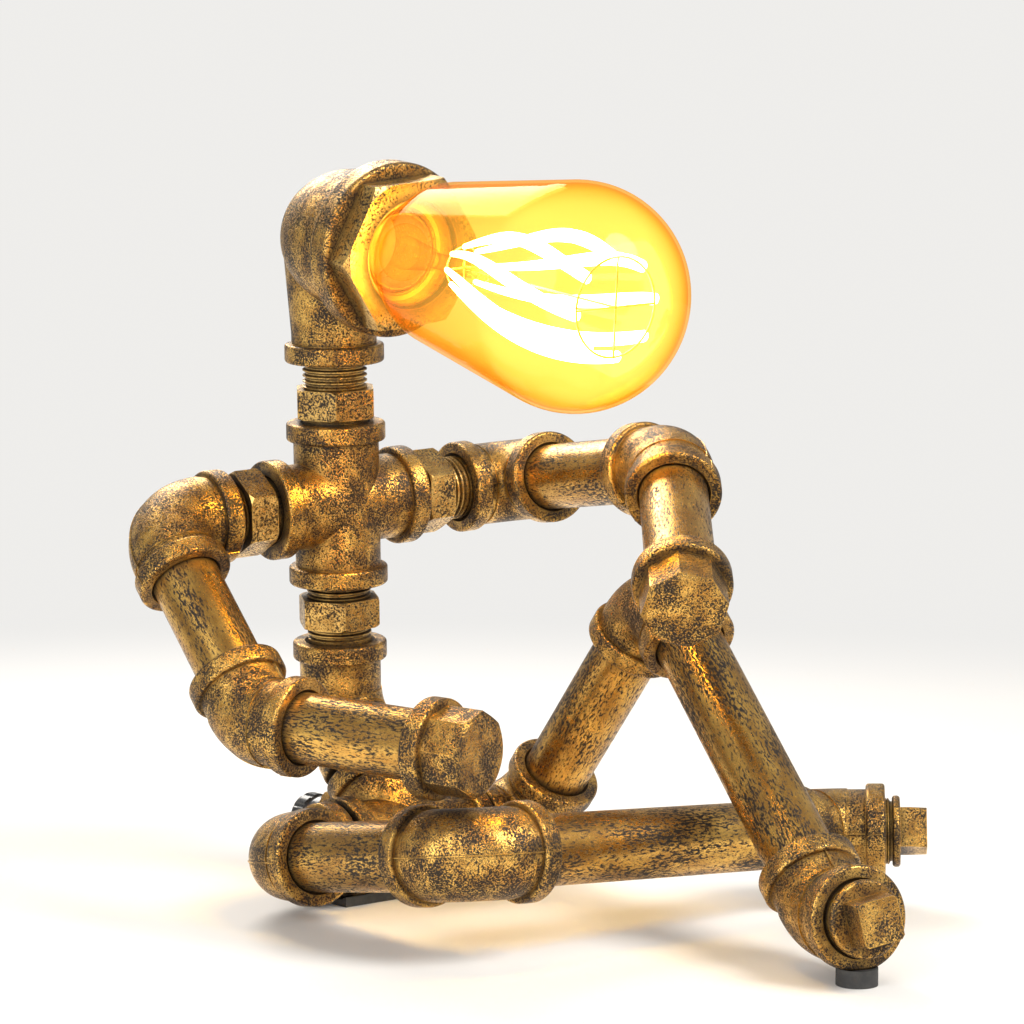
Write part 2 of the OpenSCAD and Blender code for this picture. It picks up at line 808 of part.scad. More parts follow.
module head_elbow() {
    bead_from = head_reach - head_bead_w;
    color(bronze) at_head() difference() {
        union() {
            rounded_disc(large_bead_d, bead_w);
            cylinder(d = head_throat_d, h = bead_w + 4);
            translate([0, 0, bead_w + 3])
            cylinder(d1 = head_throat_d, d2 = head_throat_d + 4, h = head_rise - bead_w - 8);
            translate([0, 0, head_rise]) rotate([0, head_bend, 0]) {
                rotate_extrude() polygon(crown_outline());
                translate([0, 0, bead_from]) rounded_disc(head_bead_d, head_bead_w, 1.4);
            }
        }
        mouth_cut();
        cylinder(r = passage_r, h = head_rise + passage_r);
        translate([0, 0, head_rise]) rotate([0, head_bend, 0]) {
            translate([0, 0, head_reach - head_socket_len])
            cylinder(d = head_thread_d + 2 * fit, h = head_socket_len + eps);
            translate([0, 0, head_reach - holder_back - 1])
            cylinder(d = holder_d + 1, h = holder_back);
        }
    }
}

crown_steps = 12;
crown_centre = 14;
crown_depth = 28;
head_throat_d = 27.4;

holder_back = holder_depth - holder_front;

// The hexagon bushing closes the large mouth round the lamp holder.
module hex_bushing() {
    thread_len = head_socket_len - 3;
    corner = bushing_flats / sqrt(3);
    color(bronze) at_mouth() rotate([0, 0, bushing_turn]) difference() {
        union() {
            translate([0, 0, -thread_len]) cylinder(d = head_thread_d, h = thread_len + 0.1);
            intersection() {
                cylinder(r = corner, h = bushing_len, $fn = 6);
                union() {
                    cylinder(r = corner + 1, h = bushing_len - 1.2);
                    translate([0, 0, bushing_len - 1.2])
                    cylinder(r1 = corner, r2 = corner - 2.2, h = 1.2);
                }
            }
        }
        translate([0, 0, -thread_len - eps])
        cylinder(d = holder_d + 2 * fit, h = thread_len + bushing_len + 2 * eps);
    }
}

// The lamp holder's outer shell, with a rolled front edge
module holder_shell() {
    color(brass) at_mouth() difference() {
        union() {
            translate([0, 0, -holder_back]) cylinder(d = holder_d, h = holder_depth - 1);
            translate([0, 0, holder_front - 1]) rotate_extrude() {
                square([holder_d / 2 - 1, 1]);
                translate([holder_d / 2 - 1, 0]) circle(r = 1, $fn = 24);
            }
        }
        translate([0, 0, -holder_back + holder_floor])
        cylinder(d = holder_d - 2 * shell_wall, h = holder_depth + eps);
        translate([0, 0, -holder_back - eps]) cylinder(d = shell_hole_d, h = holder_floor + 2 * eps);
    }
}

// The insulating core of the lamp holder
module holder_core() {
    core_d = holder_d - 2 * shell_wall - 2 * fit;
    core_len = holder_back - holder_floor + glass_from;
    color("#e8e2d4") at_mouth() translate([0, 0, -holder_back + holder_floor]) difference() {
        cylinder(d = core_d, h = core_len);
        translate([0, 0, core_floor]) cylinder(d = cap_d + 2 * thread_sleeve, h = core_len);
        translate([0, 0, -eps]) cylinder(d = rivet_d + 1, h = core_floor + 2 * eps);
    }
}

thread_sleeve = 0.9;
rivet_d = 3;

// The brass screw sleeve inside the core
module holder_thread() {
    sleeve_from = -holder_back + holder_floor + core_floor;
    sleeve_len = glass_from - 0.5 - sleeve_from;
    color(brass) at_mouth() translate([0, 0, sleeve_from]) difference() {
        cylinder(d = cap_d + 2 * thread_sleeve - 2 * fit, h = sleeve_len);
        translate([0, 0, -eps]) cylinder(d = cap_d + 2 * fit, h = sleeve_len + 2 * eps);
    }
}

// The springy tongue that the bulb's centre contact presses on
module centre_contact() {
    leaf = 0.8;
    foot_d = 8;
    tip_d = 6;
    color(brass) at_mouth() translate([0, 0, -holder_back + holder_floor + core_floor]) {
        cylinder(d = foot_d, h = leaf);
        translate([0, 0, leaf - 0.1]) cylinder(d = rivet_d, h = tongue_len - 2 * leaf + 0.1);
        translate([0, 0, tongue_len - leaf - 0.1]) cylinder(d = tip_d, h = leaf);
        translate([0, 0, 0.2 - core_floor]) cylinder(d = rivet_d, h = core_floor);
    }
}

// The lead from the neck into the lamp holder
module head_lead() {
    lead_r = lead_d / 2;
    color("#202020") {
        at_head() translate([0, 0, 0.1]) cylinder(r = lead_r, h = head_rise - 0.1);
        at_head() translate([0, 0, head_rise]) sphere(r = lead_r + lead_knuckle);
        at_head() translate([0, 0, head_rise]) rotate([0, head_bend, 0])
        cylinder(r = lead_r, h = head_reach - holder_back + 1.8);
    }
}

// ------------------------------------------------------------------ bulb

cap_back = -holder_back + holder_floor + core_floor + tongue_len + 0.1;
glass_from = holder_front - 5;

module bulb_cap() {
    shell_len = glass_from - cap_back - insulator_len;
    color(brass) at_mouth() translate([0, 0, cap_back + insulator_len]) difference() {
        thread_rings(cap_d, shell_len, cap_pitch, cap_thread_depth);
        translate([0, 0, -eps]) cylinder(d = cap_d - 2 * cap_wall, h = shell_len + 2 * eps);
    }
}

// The insulator at the cap's end and its soldered contact
module bulb_contact() {
    solder_d = 8;
    solder_h = 1;
    insulator_d = 12;
    color("#181818") at_mouth() translate([0, 0, cap_back]) {
        cylinder(d = solder_d, h = solder_h);
        translate([0, 0, solder_h - 0.1])
        cylinder(d1 = insulator_d, d2 = cap_d - 2, h = insulator_len - solder_h + 0.1);
    }
}

insulator_len = 3;
cap_pitch = 3.6;
cap_thread_depth = 1;
cap_wall = 1.6;

// Outline of the glass, from the cap to the tip: a flared neck, a cone and a round end
bulb_r = bulb_d / 2;
cone_angle = 8.5;
cone_end_z = bulb_centre - bulb_r * sin(cone_angle);
cone_end_r = bulb_r * cos(cone_angle);
flare_z = 27;
flare_r = cone_end_r - (cone_end_z - flare_z) * tan(cone_angle);
neck_r = glass_neck_d / 2;
flare_steps = 10;
round_steps = 28;

// Height and radius of the flare between the neck and the cone, at a share from 0 to 1
function flare_point(t) = [
    neck_r + (flare_r - neck_r) * (t * t * (3 - 2 * t) * 0.45 + t * 0.55),
    glass_from + (flare_z - glass_from) * t
];

// Outline of the glass pulled in by inset
function bulb_outline(inset) = concat(
    [for (i = [0 : flare_steps]) flare_point(i / flare_steps) - [inset, 0]],
    [for (i = [0 : round_steps])
        let (a = -cone_angle + i * (90 + cone_angle) / round_steps)
        let (squash = a > 0 ? bulb_end_ratio : 1)
        [max(0, (bulb_r - inset) * cos(a)), bulb_centre + (bulb_r - inset) * sin(a) * squash]]
);

module bulb_glass() {
    color("#ffb03080") at_mouth() difference() {
        rotate_extrude($fn = 96)
        polygon(concat([[0, glass_from]], bulb_outline(0)));
        translate([0, 0, glass_wall]) rotate_extrude($fn = 96)
        polygon(concat([[0, glass_from]], bulb_outline(glass_wall)));
    }
}

stem_len = 40;
stem_cone_len = 14;
stem_foot_d = 18;
stem_rod_d = 5;

// The glass mount that carries the filaments
module bulb_stem() {
    color("#ffd890") at_mouth() translate([0, 0, glass_from + glass_wall + 0.2]) {
        cylinder(d = stem_foot_d, h = 1.4);
        translate([0, 0, 1.3])
        cylinder(d1 = stem_foot_d * 0.6, d2 = stem_rod_d + 2, h = stem_cone_len);
        cylinder(d = stem_rod_d, h = stem_len);
        translate([0, 0, stem_len]) sphere(d = stem_rod_d + 1.4);
    }
}

filament_count = 4;
filament_d = 2.2;
filament_low = 42;
filament_high = 92;
filament_spread_low = 6;
filament_spread_high = 15;

// Slanting filament rods on wire hoops round the stem
module bulb_filaments() {
    rise = filament_high - filament_low;
    spread = filament_spread_high - filament_spread_low;
    slant = atan2(spread, rise);
    rod_len = sqrt(rise * rise + spread * spread);
    color("#ffd27a") at_mouth() {
        for (i = [0 : filament_count - 1])
            rotate([0, 0, i * 360 / filament_count + 45])
            translate([filament_spread_low, 0, filament_low]) rotate([0, slant, 0])
            cylinder(d = filament_d, h = rod_len, $fn = 24);
        translate([0, 0, filament_low]) hoop(filament_spread_low);
        translate([0, 0, filament_high]) hoop(filament_spread_high);
    }
}

module hoop(r) {
    rotate_extrude() translate([r, 0]) circle(d = 1, $fn = 16);
}

// Place and height of the left foot pad, under the toe bead's lowest point
foot_pad_h = 5;
left_foot_pad_at = [20, -182.5];

seat_pad();
hip_tee();
seat_nipple();
right_hip_nipple();
left_hip_nipple();
right_hip_elbow();
left_hip_elbow();
right_thigh_pipe();
left_thigh_pipe();
right_knee_elbow();
left_knee_elbow();
right_shin_pipe();
left_shin_pipe();
right_foot_elbow();
left_foot_elbow();
right_foot_plug();
left_foot_plug();
left_foot_pad();
pelvis_elbow();
waist_nipple();
hip_lead();
cable_gland();
gland_seal();
gland_nut();
switch_body();
switch_cover();
switch_nut();
switch_knob();
chest_cross();
neck_nipple();
right_shoulder_nipple();
left_shoulder_nipple();
chest_lead();
right_shoulder_elbow();
right_upper_arm_pipe();
right_arm_elbow();
right_forearm_pipe();
right_hand_cap();
left_shoulder_elbow();
left_upper_arm_pipe();
left_arm_elbow();
left_forearm_pipe();
left_hand_cap();
head_elbow();
hex_bushing();
holder_shell();
holder_core();
holder_thread();
centre_contact();
head_lead();
bulb_cap();
bulb_contact();
bulb_glass();
bulb_stem();
bulb_filaments();
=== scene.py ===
"""Dresses the seated pipe-figure desk lamp for rendering.

Sizes are in millimetres while a piece is drawn and become metres at the end of its making.
Every limb is a chain of frames: a fitting starts in the middle of its inlet face, with +Z
going into it, and Frame.past_bend() steps to the outlet face of an elbow.
"""

from __future__ import annotations

import json
import logging
import math
from collections.abc import Iterable
from dataclasses import dataclass
from enum import Enum

import bmesh
import bpy
from mathutils import Matrix, Vector


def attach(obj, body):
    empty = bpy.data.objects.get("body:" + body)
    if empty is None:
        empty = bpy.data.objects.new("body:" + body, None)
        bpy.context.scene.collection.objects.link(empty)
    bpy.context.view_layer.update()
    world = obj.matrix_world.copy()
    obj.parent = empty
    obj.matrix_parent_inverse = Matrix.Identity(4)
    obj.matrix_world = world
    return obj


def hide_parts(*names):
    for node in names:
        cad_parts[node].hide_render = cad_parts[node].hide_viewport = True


LOG = logging.getLogger("pipe_figure_lamp")

Colour = tuple[float, float, float]
Place = tuple[float, float, float]
Span = tuple[float, float]
Face = bmesh.types.BMFace
Piece = bpy.types.Object
Shape = bmesh.types.BMesh
Socket = bpy.types.NodeSocket
Vert = bmesh.types.BMVert

MM = 0.001
WELD_MM = 0.0005
SHARP_ANGLE = 40.0
QUARTER_TURN = 90.0
ORIGIN = (0.0, 0.0, 0.0)
UP = (0.0, 0.0, 1.0)

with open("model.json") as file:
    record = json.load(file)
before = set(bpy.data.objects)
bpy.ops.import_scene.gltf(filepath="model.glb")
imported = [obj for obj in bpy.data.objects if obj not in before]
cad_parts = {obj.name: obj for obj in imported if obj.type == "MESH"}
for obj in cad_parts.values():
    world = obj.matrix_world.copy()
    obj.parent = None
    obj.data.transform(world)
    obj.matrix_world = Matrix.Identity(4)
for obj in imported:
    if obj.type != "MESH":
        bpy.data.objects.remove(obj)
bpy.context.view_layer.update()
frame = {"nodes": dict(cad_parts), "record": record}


# -------------------- frames


@dataclass(frozen=True)
class Bend:
    """A kind of elbow.

    Args:
        angle: how far it bends, in degrees.
        reach: middle of the bend to either face.
    """

    angle: float
    reach: float


@dataclass(frozen=True)
class Frame:
    """A place and a direction on the lamp, in millimetres.

    Args:
        matrix: the frame's 4x4 matrix in the shared frame.
    """

    matrix: Matrix

    def along(self, length: float) -> Frame:
        """Returns the frame moved by length along its own +Z."""
        return Frame(self.matrix @ Matrix.Translation((0.0, 0.0, length)))

    def turned(self, degrees: float, axis: str) -> Frame:
        """Returns the frame turned about one of its own axes."""
        return Frame(self.matrix @ Matrix.Rotation(math.radians(degrees), 4, axis))

    def past_bend(self, bend: Bend, turn: float) -> Frame:
        """Returns the outlet frame of an elbow that starts here, turned about its inlet axis."""
        outlet = self.turned(turn, "Z").along(bend.reach).turned(bend.angle, "Y").along(bend.reach)
        return outlet.turned(-turn, "Z")

    @property
    def axis(self) -> Vector:
        """The frame's +Z direction."""
        return (self.matrix.to_3x3() @ Vector(UP)).normalized()


@dataclass(frozen=True)
class Limb:
    """An arm or a leg: an elbow at the body, a pipe, and a second elbow.

    Args:
        root: inlet of the first elbow.
        first: kind of the first elbow.
        first_turn: its turn about its inlet axis, in degrees.
        upper_len: gap between the two elbows' faces.
        second: kind of the second elbow.
        second_turn: its turn about its inlet axis, in degrees.
    """

    root: Frame
    first: Bend
    first_turn: float
    upper_len: float
    second: Bend
    second_turn: float

    @property
    def upper(self) -> Frame:
        """Outlet of the first elbow, where the upper pipe starts."""
        return self.root.past_bend(self.first, self.first_turn)

    @property
    def middle(self) -> Frame:
        """Inlet of the second elbow."""
        return self.upper.along(self.upper_len)

    @property
    def lower(self) -> Frame:
        """Outlet of the second elbow, where the lower pipe starts."""
        return self.middle.past_bend(self.second, self.second_turn)


@dataclass(frozen=True)
class Skeleton:
    """The lengths and turns of the pipe figure, and the frames they give."""

    elbow: Bend = Bend(90.0, 23.5)
    half_elbow: Bend = Bend(45.0, 18.0)
    pelvis_elbow: Bend = Bend(45.0, 22.5)
    hip_height: float = 17.5
    tee_reach: float = 26.5
    cross_reach: float = 26.5
    hip_gap: float = 1.5
    seat_gap: float = 2.5
    waist_len: float = 19.0
    neck_len: float = 19.5
    right_shoulder_len: float = 15.5
    left_shoulder_len: float = 19.0
    right_upper_arm_len: float = 37.5
    left_upper_arm_len: float = 48.0
    right_thigh_len: float = 50.5
    right_shin_len: float = 103.5
    left_thigh_len: float = 57.5
    left_shin_len: float = 91.0
    pelvis_lean: float = 41.0
    pelvis_turn: float = -95.5
    chest_turn: float = -7.0
    head_turn: float = -86.0
    right_arm_turn: float = -130.0
    right_forearm_turn: float = -72.0
    left_arm_turn: float = -100.5
    left_forearm_turn: float = -58.5
    right_hip_turn: float = -81.0
    right_knee_turn: float = -85.0
    right_foot_turn: float = 98.5
    left_hip_turn: float = -141.0
    left_knee_turn: float = -62.5
    left_foot_turn: float = 131.0
    head_rise: float = 41.0
    head_reach: float = 35.5
    head_bend: float = 94.5

    @property
    def hips(self) -> Frame:
        """Middle of the hip tee."""
        return Frame(Matrix.Translation((0.0, 0.0, self.hip_height)))

    @property
    def waist(self) -> Frame:
        """Outlet of the pelvis half elbow."""
        inlet = self.hips.turned(-self.pelvis_lean, "X").along(self.tee_reach + self.seat_gap)
        return inlet.past_bend(self.pelvis_elbow, self.pelvis_turn)

    @property
    def chest(self) -> Frame:
        """Middle of the chest cross."""
        above = self.waist.along(self.waist_len + self.cross_reach)
        return above.turned(self.chest_turn, "Z")

    @property
    def mouth(self) -> Frame:
        """Middle of the head elbow's large mouth."""
        above = self.chest.along(self.cross_reach + self.neck_len).turned(self.head_turn, "Z")
        return above.along(self.head_rise).turned(self.head_bend, "Y").along(self.head_reach)

    @property
    def right_arm(self) -> Limb:
        """The right arm, from the inlet of its shoulder elbow."""
        side = self.chest.turned(-QUARTER_TURN, "Y")
        return Limb(side.along(self.cross_reach + self.right_shoulder_len), self.elbow,
                    self.right_arm_turn, self.right_upper_arm_len, self.half_elbow,
                    self.right_forearm_turn)

    @property
    def left_arm(self) -> Limb:
        """The left arm, from the inlet of its shoulder elbow."""
        side = self.chest.turned(QUARTER_TURN, "Y")
        return Limb(side.along(self.cross_reach + self.left_shoulder_len), self.elbow,
                    self.left_arm_turn, self.left_upper_arm_len, self.half_elbow,
                    self.left_forearm_turn)

    @property
    def right_leg(self) -> Limb:
        """The right leg, from the inlet of its hip elbow."""
        side = self.hips.turned(-QUARTER_TURN, "Y")
        return Limb(side.along(self.tee_reach + self.hip_gap), self.elbow, self.right_hip_turn,
                    self.right_thigh_len, self.elbow, self.right_knee_turn)

    @property
    def left_leg(self) -> Limb:
        """The left leg, from the inlet of its hip elbow."""
        side = self.hips.turned(QUARTER_TURN, "Y")
        return Limb(side.along(self.tee_reach + self.hip_gap), self.elbow, self.left_hip_turn,
                    self.left_thigh_len, self.elbow, self.left_knee_turn)

    @property
    def right_foot(self) -> Frame:
        """Inlet of the right foot's half elbow."""
        return self.right_leg.lower.along(self.right_shin_len)

    @property
    def left_foot(self) -> Frame:
        """Inlet of the left foot's half elbow."""
        return self.left_leg.lower.along(self.left_shin_len)


# -------------------- finishes


class Recipe:
    """A material under construction: adds shader nodes and joins their sockets."""

    # How much open sky a point sees on open surfaces and in a hollow.
    HOLLOW_SPAN = (0.95, 0.35)
    HOLLOW_SAMPLES = 6
    # How well the rounded normal agrees with the true one on a flat and on an edge.
    EDGE_SPAN = (0.99, 0.88)
    EDGE_SAMPLES = 4
    # Bump distance for each unit of a finish's grain depth.
    BUMP_SCALE = 3.0

    def __init__(self, name: str) -> None:
        """Starts a material of that name with one surface shader."""
        self.material = bpy.data.materials.new(name)
        self.material.use_nodes = True
        self.tree = self.material.node_tree
        self.tree.nodes.clear()
        self.output = self.add("ShaderNodeOutputMaterial")
        self.shader = self.add("ShaderNodeBsdfPrincipled")
        self.join(self.shader.outputs["BSDF"], self.output.inputs["Surface"])
        self.coords = self.add("ShaderNodeTexCoord").outputs["Object"]

    def add(self, kind: str) -> bpy.types.Node:
        """Returns a new node of a kind."""
        return self.tree.nodes.new(kind)

    def join(self, source: Socket, target: Socket) -> None:
        """Links one socket to another."""
        self.tree.links.new(source, target)

    def turn_coords(self, axis: Vector, squeeze: float) -> None:
        """Turns the pattern so that it runs along an axis.

        Args:
            axis: the direction that the pattern is drawn out along.
            squeeze: its scale along that axis, under 1 for streaks.
        """
        mapping = self.add("ShaderNodeMapping")
        mapping.vector_type = "POINT"
        turn = axis.rotation_difference(Vector(UP)).to_euler("XYZ")
        mapping.inputs["Rotation"].default_value = turn
        self.join(self.coords, mapping.inputs["Vector"])
        stretch = self.add("ShaderNodeVectorMath")
        stretch.operation = "MULTIPLY"
        stretch.inputs[1].default_value = (1.0, 1.0, squeeze)
        self.join(mapping.outputs["Vector"], stretch.inputs[0])
        self.coords = stretch.outputs["Vector"]

    def noise(self, size_mm: float, detail: float = 4.0, rough: float = 0.55) -> Socket:
        """Adds a noise pattern.

        Args:
            size_mm: about how wide its blotches are.
            detail: how many finer layers it has.
            rough: strength of the finer layers.

        Returns:
            The pattern, about 0.2 to 0.8.
        """
        node = self.add("ShaderNodeTexNoise")
        node.inputs["Scale"].default_value = 1.0 / (size_mm * MM)
        node.inputs["Detail"].default_value = detail
        node.inputs["Roughness"].default_value = rough
        self.join(self.coords, node.inputs["Vector"])
        return node.outputs["Fac"]

    def ramp(self, value: Socket, span: Span, result: Span = (0.0, 1.0)) -> Socket:
        """Maps a value smoothly from one span to another.

        Args:
            value: what is mapped.
            span: its values at the two ends.
            result: what those ends become.

        Returns:
            The mapped value.
        """
        node = self.add("ShaderNodeMapRange")
        node.interpolation_type = "SMOOTHSTEP"
        names = ("From Min", "From Max", "To Min", "To Max")
        for name, number in zip(names, span + result):
            node.inputs[name].default_value = number
        self.join(value, node.inputs["Value"])
        return node.outputs["Result"]

    def calc(self, operation: str, first: Socket, second: Socket | float) -> Socket:
        """Works out one operation on two values.

        Args:
            operation: the operation's name.
            first: its first value.
            second: its second value.

        Returns:
            The result, held between 0 and 1.
        """
        node = self.add("ShaderNodeMath")
        node.operation = operation
        node.use_clamp = True
        self.join(first, node.inputs[0])
        if isinstance(second, float):
            node.inputs[1].default_value = second
        else:
            self.join(second, node.inputs[1])
        return node.outputs["Value"]

    def mix(self, share: Socket, first: Colour | Socket, second: Colour | Socket) -> Socket:
        """Blends two colours, where share is how much of the second there is."""
        node = self.add("ShaderNodeMix")
        node.data_type = "RGBA"
        self.join(share, node.inputs["Factor"])
        for place, colour in ((6, first), (7, second)):
            if isinstance(colour, tuple):
                node.inputs[place].default_value = (*colour, 1.0)
            else:
                self.join(colour, node.inputs[place])
        return node.outputs[2]

    def blend(self, share: Socket, first: Socket, second: Socket) -> Socket:
        """Blends two shaders, where share is how much of the second there is."""
        node = self.add("ShaderNodeMixShader")
        for place, source in enumerate((share, first, second)):
            self.join(source, node.inputs[place])
        return node.outputs["Shader"]

    def distance(self, place: Place) -> Socket:
        """Returns how far, in metres, the surface is from a place in millimetres."""
        node = self.add("ShaderNodeVectorMath")
        node.operation = "DISTANCE"
        self.join(self.coords, node.inputs[0])
        node.inputs[1].default_value = tuple(part * MM for part in place)
        return node.outputs["Value"]

    def hollows(self, reach_mm: float) -> Socket:
        """Returns 1 where a surface within reach shades a hollow, and 0 in the open."""
        node = self.add("ShaderNodeAmbientOcclusion")
        node.samples = self.HOLLOW_SAMPLES
        node.inputs["Distance"].default_value = reach_mm * MM
        return self.ramp(node.outputs["AO"], self.HOLLOW_SPAN)

    def edges(self, reach_mm: float) -> Socket:
        """Returns 1 in a band of that reach along sharp edges, and 0 on flat surfaces."""
        bevel = self.add("ShaderNodeBevel")
        bevel.samples = self.EDGE_SAMPLES
        bevel.inputs["Radius"].default_value = reach_mm * MM
        geometry = self.add("ShaderNodeNewGeometry")
        dot = self.add("ShaderNodeVectorMath")
        dot.operation = "DOT_PRODUCT"
        self.join(bevel.outputs["Normal"], dot.inputs[0])
        self.join(geometry.outputs["Normal"], dot.inputs[1])
        return self.ramp(dot.outputs["Value"], self.EDGE_SPAN)

    def bump(self, height: Socket, distance_mm: float, strength: float) -> None:
        """Roughens the surface.

        Args:
            height: the pattern of heights.
            distance_mm: height of the pattern's whole range.
            strength: how much of it shows, 0 to 1.
        """
        node = self.add("ShaderNodeBump")
        node.inputs["Strength"].default_value = strength
        node.inputs["Distance"].default_value = distance_mm * MM
        self.join(height, node.inputs["Height"])
        self.join(node.outputs["Normal"], self.shader.inputs["Normal"])

    def put(self, **values: float | tuple[float, ...] | Socket) -> None:
        """Sets or links inputs of the surface shader.

        Args:
            values: what each input gets; underscores stand for spaces in its name.
        """
        for name, value in values.items():
            socket = self.shader.inputs[name.replace("_", " ")]
            if isinstance(value, Socket):
                self.join(value, socket)
            else:
                socket.default_value = value


@dataclass(frozen=True)
class AntiqueBronze:
    """Gold bronze paint rubbed over black, with dark patina and bright worn edges.

    Args:
        name: the finish's name.
        gold: colour of the rubbed high spots.
        bronze: colour of the paint.
        patina: colour of the hollows.
        patina_share: how much of the open surface the patina covers, 0 to 1.
        speckle_mm: size of the patina's speckles.
        grain_mm: size of the casting's grain.
        grain_depth_mm: depth of the grain.
        streak: scale along the pattern's axis, under 1 for streaks.
        cloud_scale: size of the clouds over that of the speckles.
        pit_scale: size of the pits over that of the speckles.
        pit_dark: how dark the pits are.
        hollow_mm: how near a surface shades a hollow.
        hollow_dark: how dark the hollows are.
        edge_mm: width of the worn edges.
        edge_worn: how much patina is rubbed off them.
        edge_gold: how golden they are.
        tone_mm: size of the drift from bronze to gold.
        sink: how much lower the patina lies than the paint.
        bump_strength: how much of the grain shows.
    """

    name: str
    gold: Colour = (0.80, 0.48, 0.12)
    bronze: Colour = (0.44, 0.23, 0.055)
    patina: Colour = (0.024, 0.016, 0.010)
    patina_share: float = 0.52
    speckle_mm: float = 0.55
    grain_mm: float = 0.8
    grain_depth_mm: float = 0.09
    streak: float = 1.0
    cloud_scale: float = 18.0
    pit_scale: float = 0.6
    pit_dark: float = 0.8
    hollow_mm: float = 6.0
    hollow_dark: float = 0.95
    edge_mm: float = 0.7
    edge_worn: float = 0.9
    edge_gold: float = 0.75
    tone_mm: float = 5.0
    sink: float = 0.35
    bump_strength: float = 0.55

    def _patina(self, recipe: Recipe, cloud: Socket) -> Socket:
        """Returns 1 in the patina: speckles in clouds, fine pits, and all hollows."""
        speckle = recipe.noise(self.speckle_mm, detail=6.0, rough=0.68)
        spread = recipe.calc("ADD", recipe.ramp(speckle, (0.3, 0.7), (0.0, 0.70)),
                             recipe.ramp(cloud, (0.32, 0.68), (0.0, 0.30)))
        centre = 0.34 + 0.34 * self.patina_share
        dark = recipe.ramp(spread, (centre + 0.09, centre - 0.11))
        pits = recipe.noise(self.speckle_mm * self.pit_scale, detail=3.0, rough=0.6)
        for spots, depth in ((recipe.ramp(pits, (0.43, 0.36)), self.pit_dark),
                             (recipe.hollows(self.hollow_mm), self.hollow_dark)):
            dark = recipe.calc("MAXIMUM", dark, recipe.calc("MULTIPLY", spots, depth))
        return dark

    def material(self, axis: Vector | None = None) -> bpy.types.Material:
        """Builds the finish.

        Args:
            axis: direction of the streaks, where the finish has any.

        Returns:
            The material.
        """
        recipe = Recipe(self.name)
        if axis is not None:
            recipe.turn_coords(axis, self.streak)
        cloud = recipe.noise(self.speckle_mm * self.cloud_scale)
        patchy = recipe.ramp(cloud, (0.35, 0.6), (0.35, 1.0))
        worn = recipe.calc("MULTIPLY", recipe.edges(self.edge_mm), patchy)
        dark = recipe.calc("SUBTRACT", self._patina(recipe, cloud),
                           recipe.calc("MULTIPLY", worn, self.edge_worn))
        drift = recipe.ramp(recipe.noise(self.tone_mm, detail=3.0), (0.35, 0.7))
        tone = recipe.mix(drift, self.bronze, self.gold)
        tone = recipe.mix(recipe.calc("MULTIPLY", worn, self.edge_gold), tone, self.gold)
        recipe.put(Base_Color=recipe.mix(dark, tone, self.patina),
                   Roughness=recipe.ramp(dark, (0.0, 1.0), (0.27, 0.5)),
                   Metallic=recipe.ramp(dark, (0.0, 1.0), (1.0, 0.45)))
        grain = recipe.noise(self.grain_mm, detail=6.0, rough=0.65)
        height = recipe.calc("SUBTRACT", grain, recipe.calc("MULTIPLY", dark, self.sink))
        recipe.bump(height, self.grain_depth_mm * recipe.BUMP_SCALE, self.bump_strength)
        return recipe.material


@dataclass(frozen=True)
class Plain:
    """A moulded, drawn or fired surface with fine grain and slight mottling.

    Args:
        name: the finish's name.
        colour: main colour.
        mottle: colour it drifts towards.
        metallic: 0 for plastics and rubber, 1 for bare metal.
        roughness: middle roughness.
        grain_mm: size of the grain.
        grain_depth_mm: depth of the grain.
        coat: strength of a clear coat.
        streak: scale of the grain along an axis, where one is given.
        mottle_mm: size of the mottling.
        bump_strength: how much of the grain shows.
    """

    name: str
    colour: Colour
    mottle: Colour
    metallic: float = 0.0
    roughness: float = 0.5
    grain_mm: float = 0.6
    grain_depth_mm: float = 0.03
    coat: float = 0.0
    streak: float = 0.1
    mottle_mm: float = 6.0
    bump_strength: float = 0.35

    def material(self, axis: Vector | None = None) -> bpy.types.Material:
        """Builds the finish.

        Args:
            axis: direction of the grain, where it has one.

        Returns:
            The material.
        """
        recipe = Recipe(self.name)
        if axis is not None:
            recipe.turn_coords(axis, self.streak)
        drift = recipe.ramp(recipe.noise(self.mottle_mm, detail=5.0), (0.35, 0.7))
        grain = recipe.noise(self.grain_mm)
        rough = recipe.ramp(grain, (0.2, 0.8), (self.roughness - 0.07, self.roughness + 0.09))
        recipe.put(Base_Color=recipe.mix(drift, self.colour, self.mottle), Roughness=rough,
                   Metallic=self.metallic, Coat_Weight=self.coat, Coat_Roughness=0.08)
        recipe.bump(grain, self.grain_depth_mm * recipe.BUMP_SCALE, self.bump_strength)
        return recipe.material


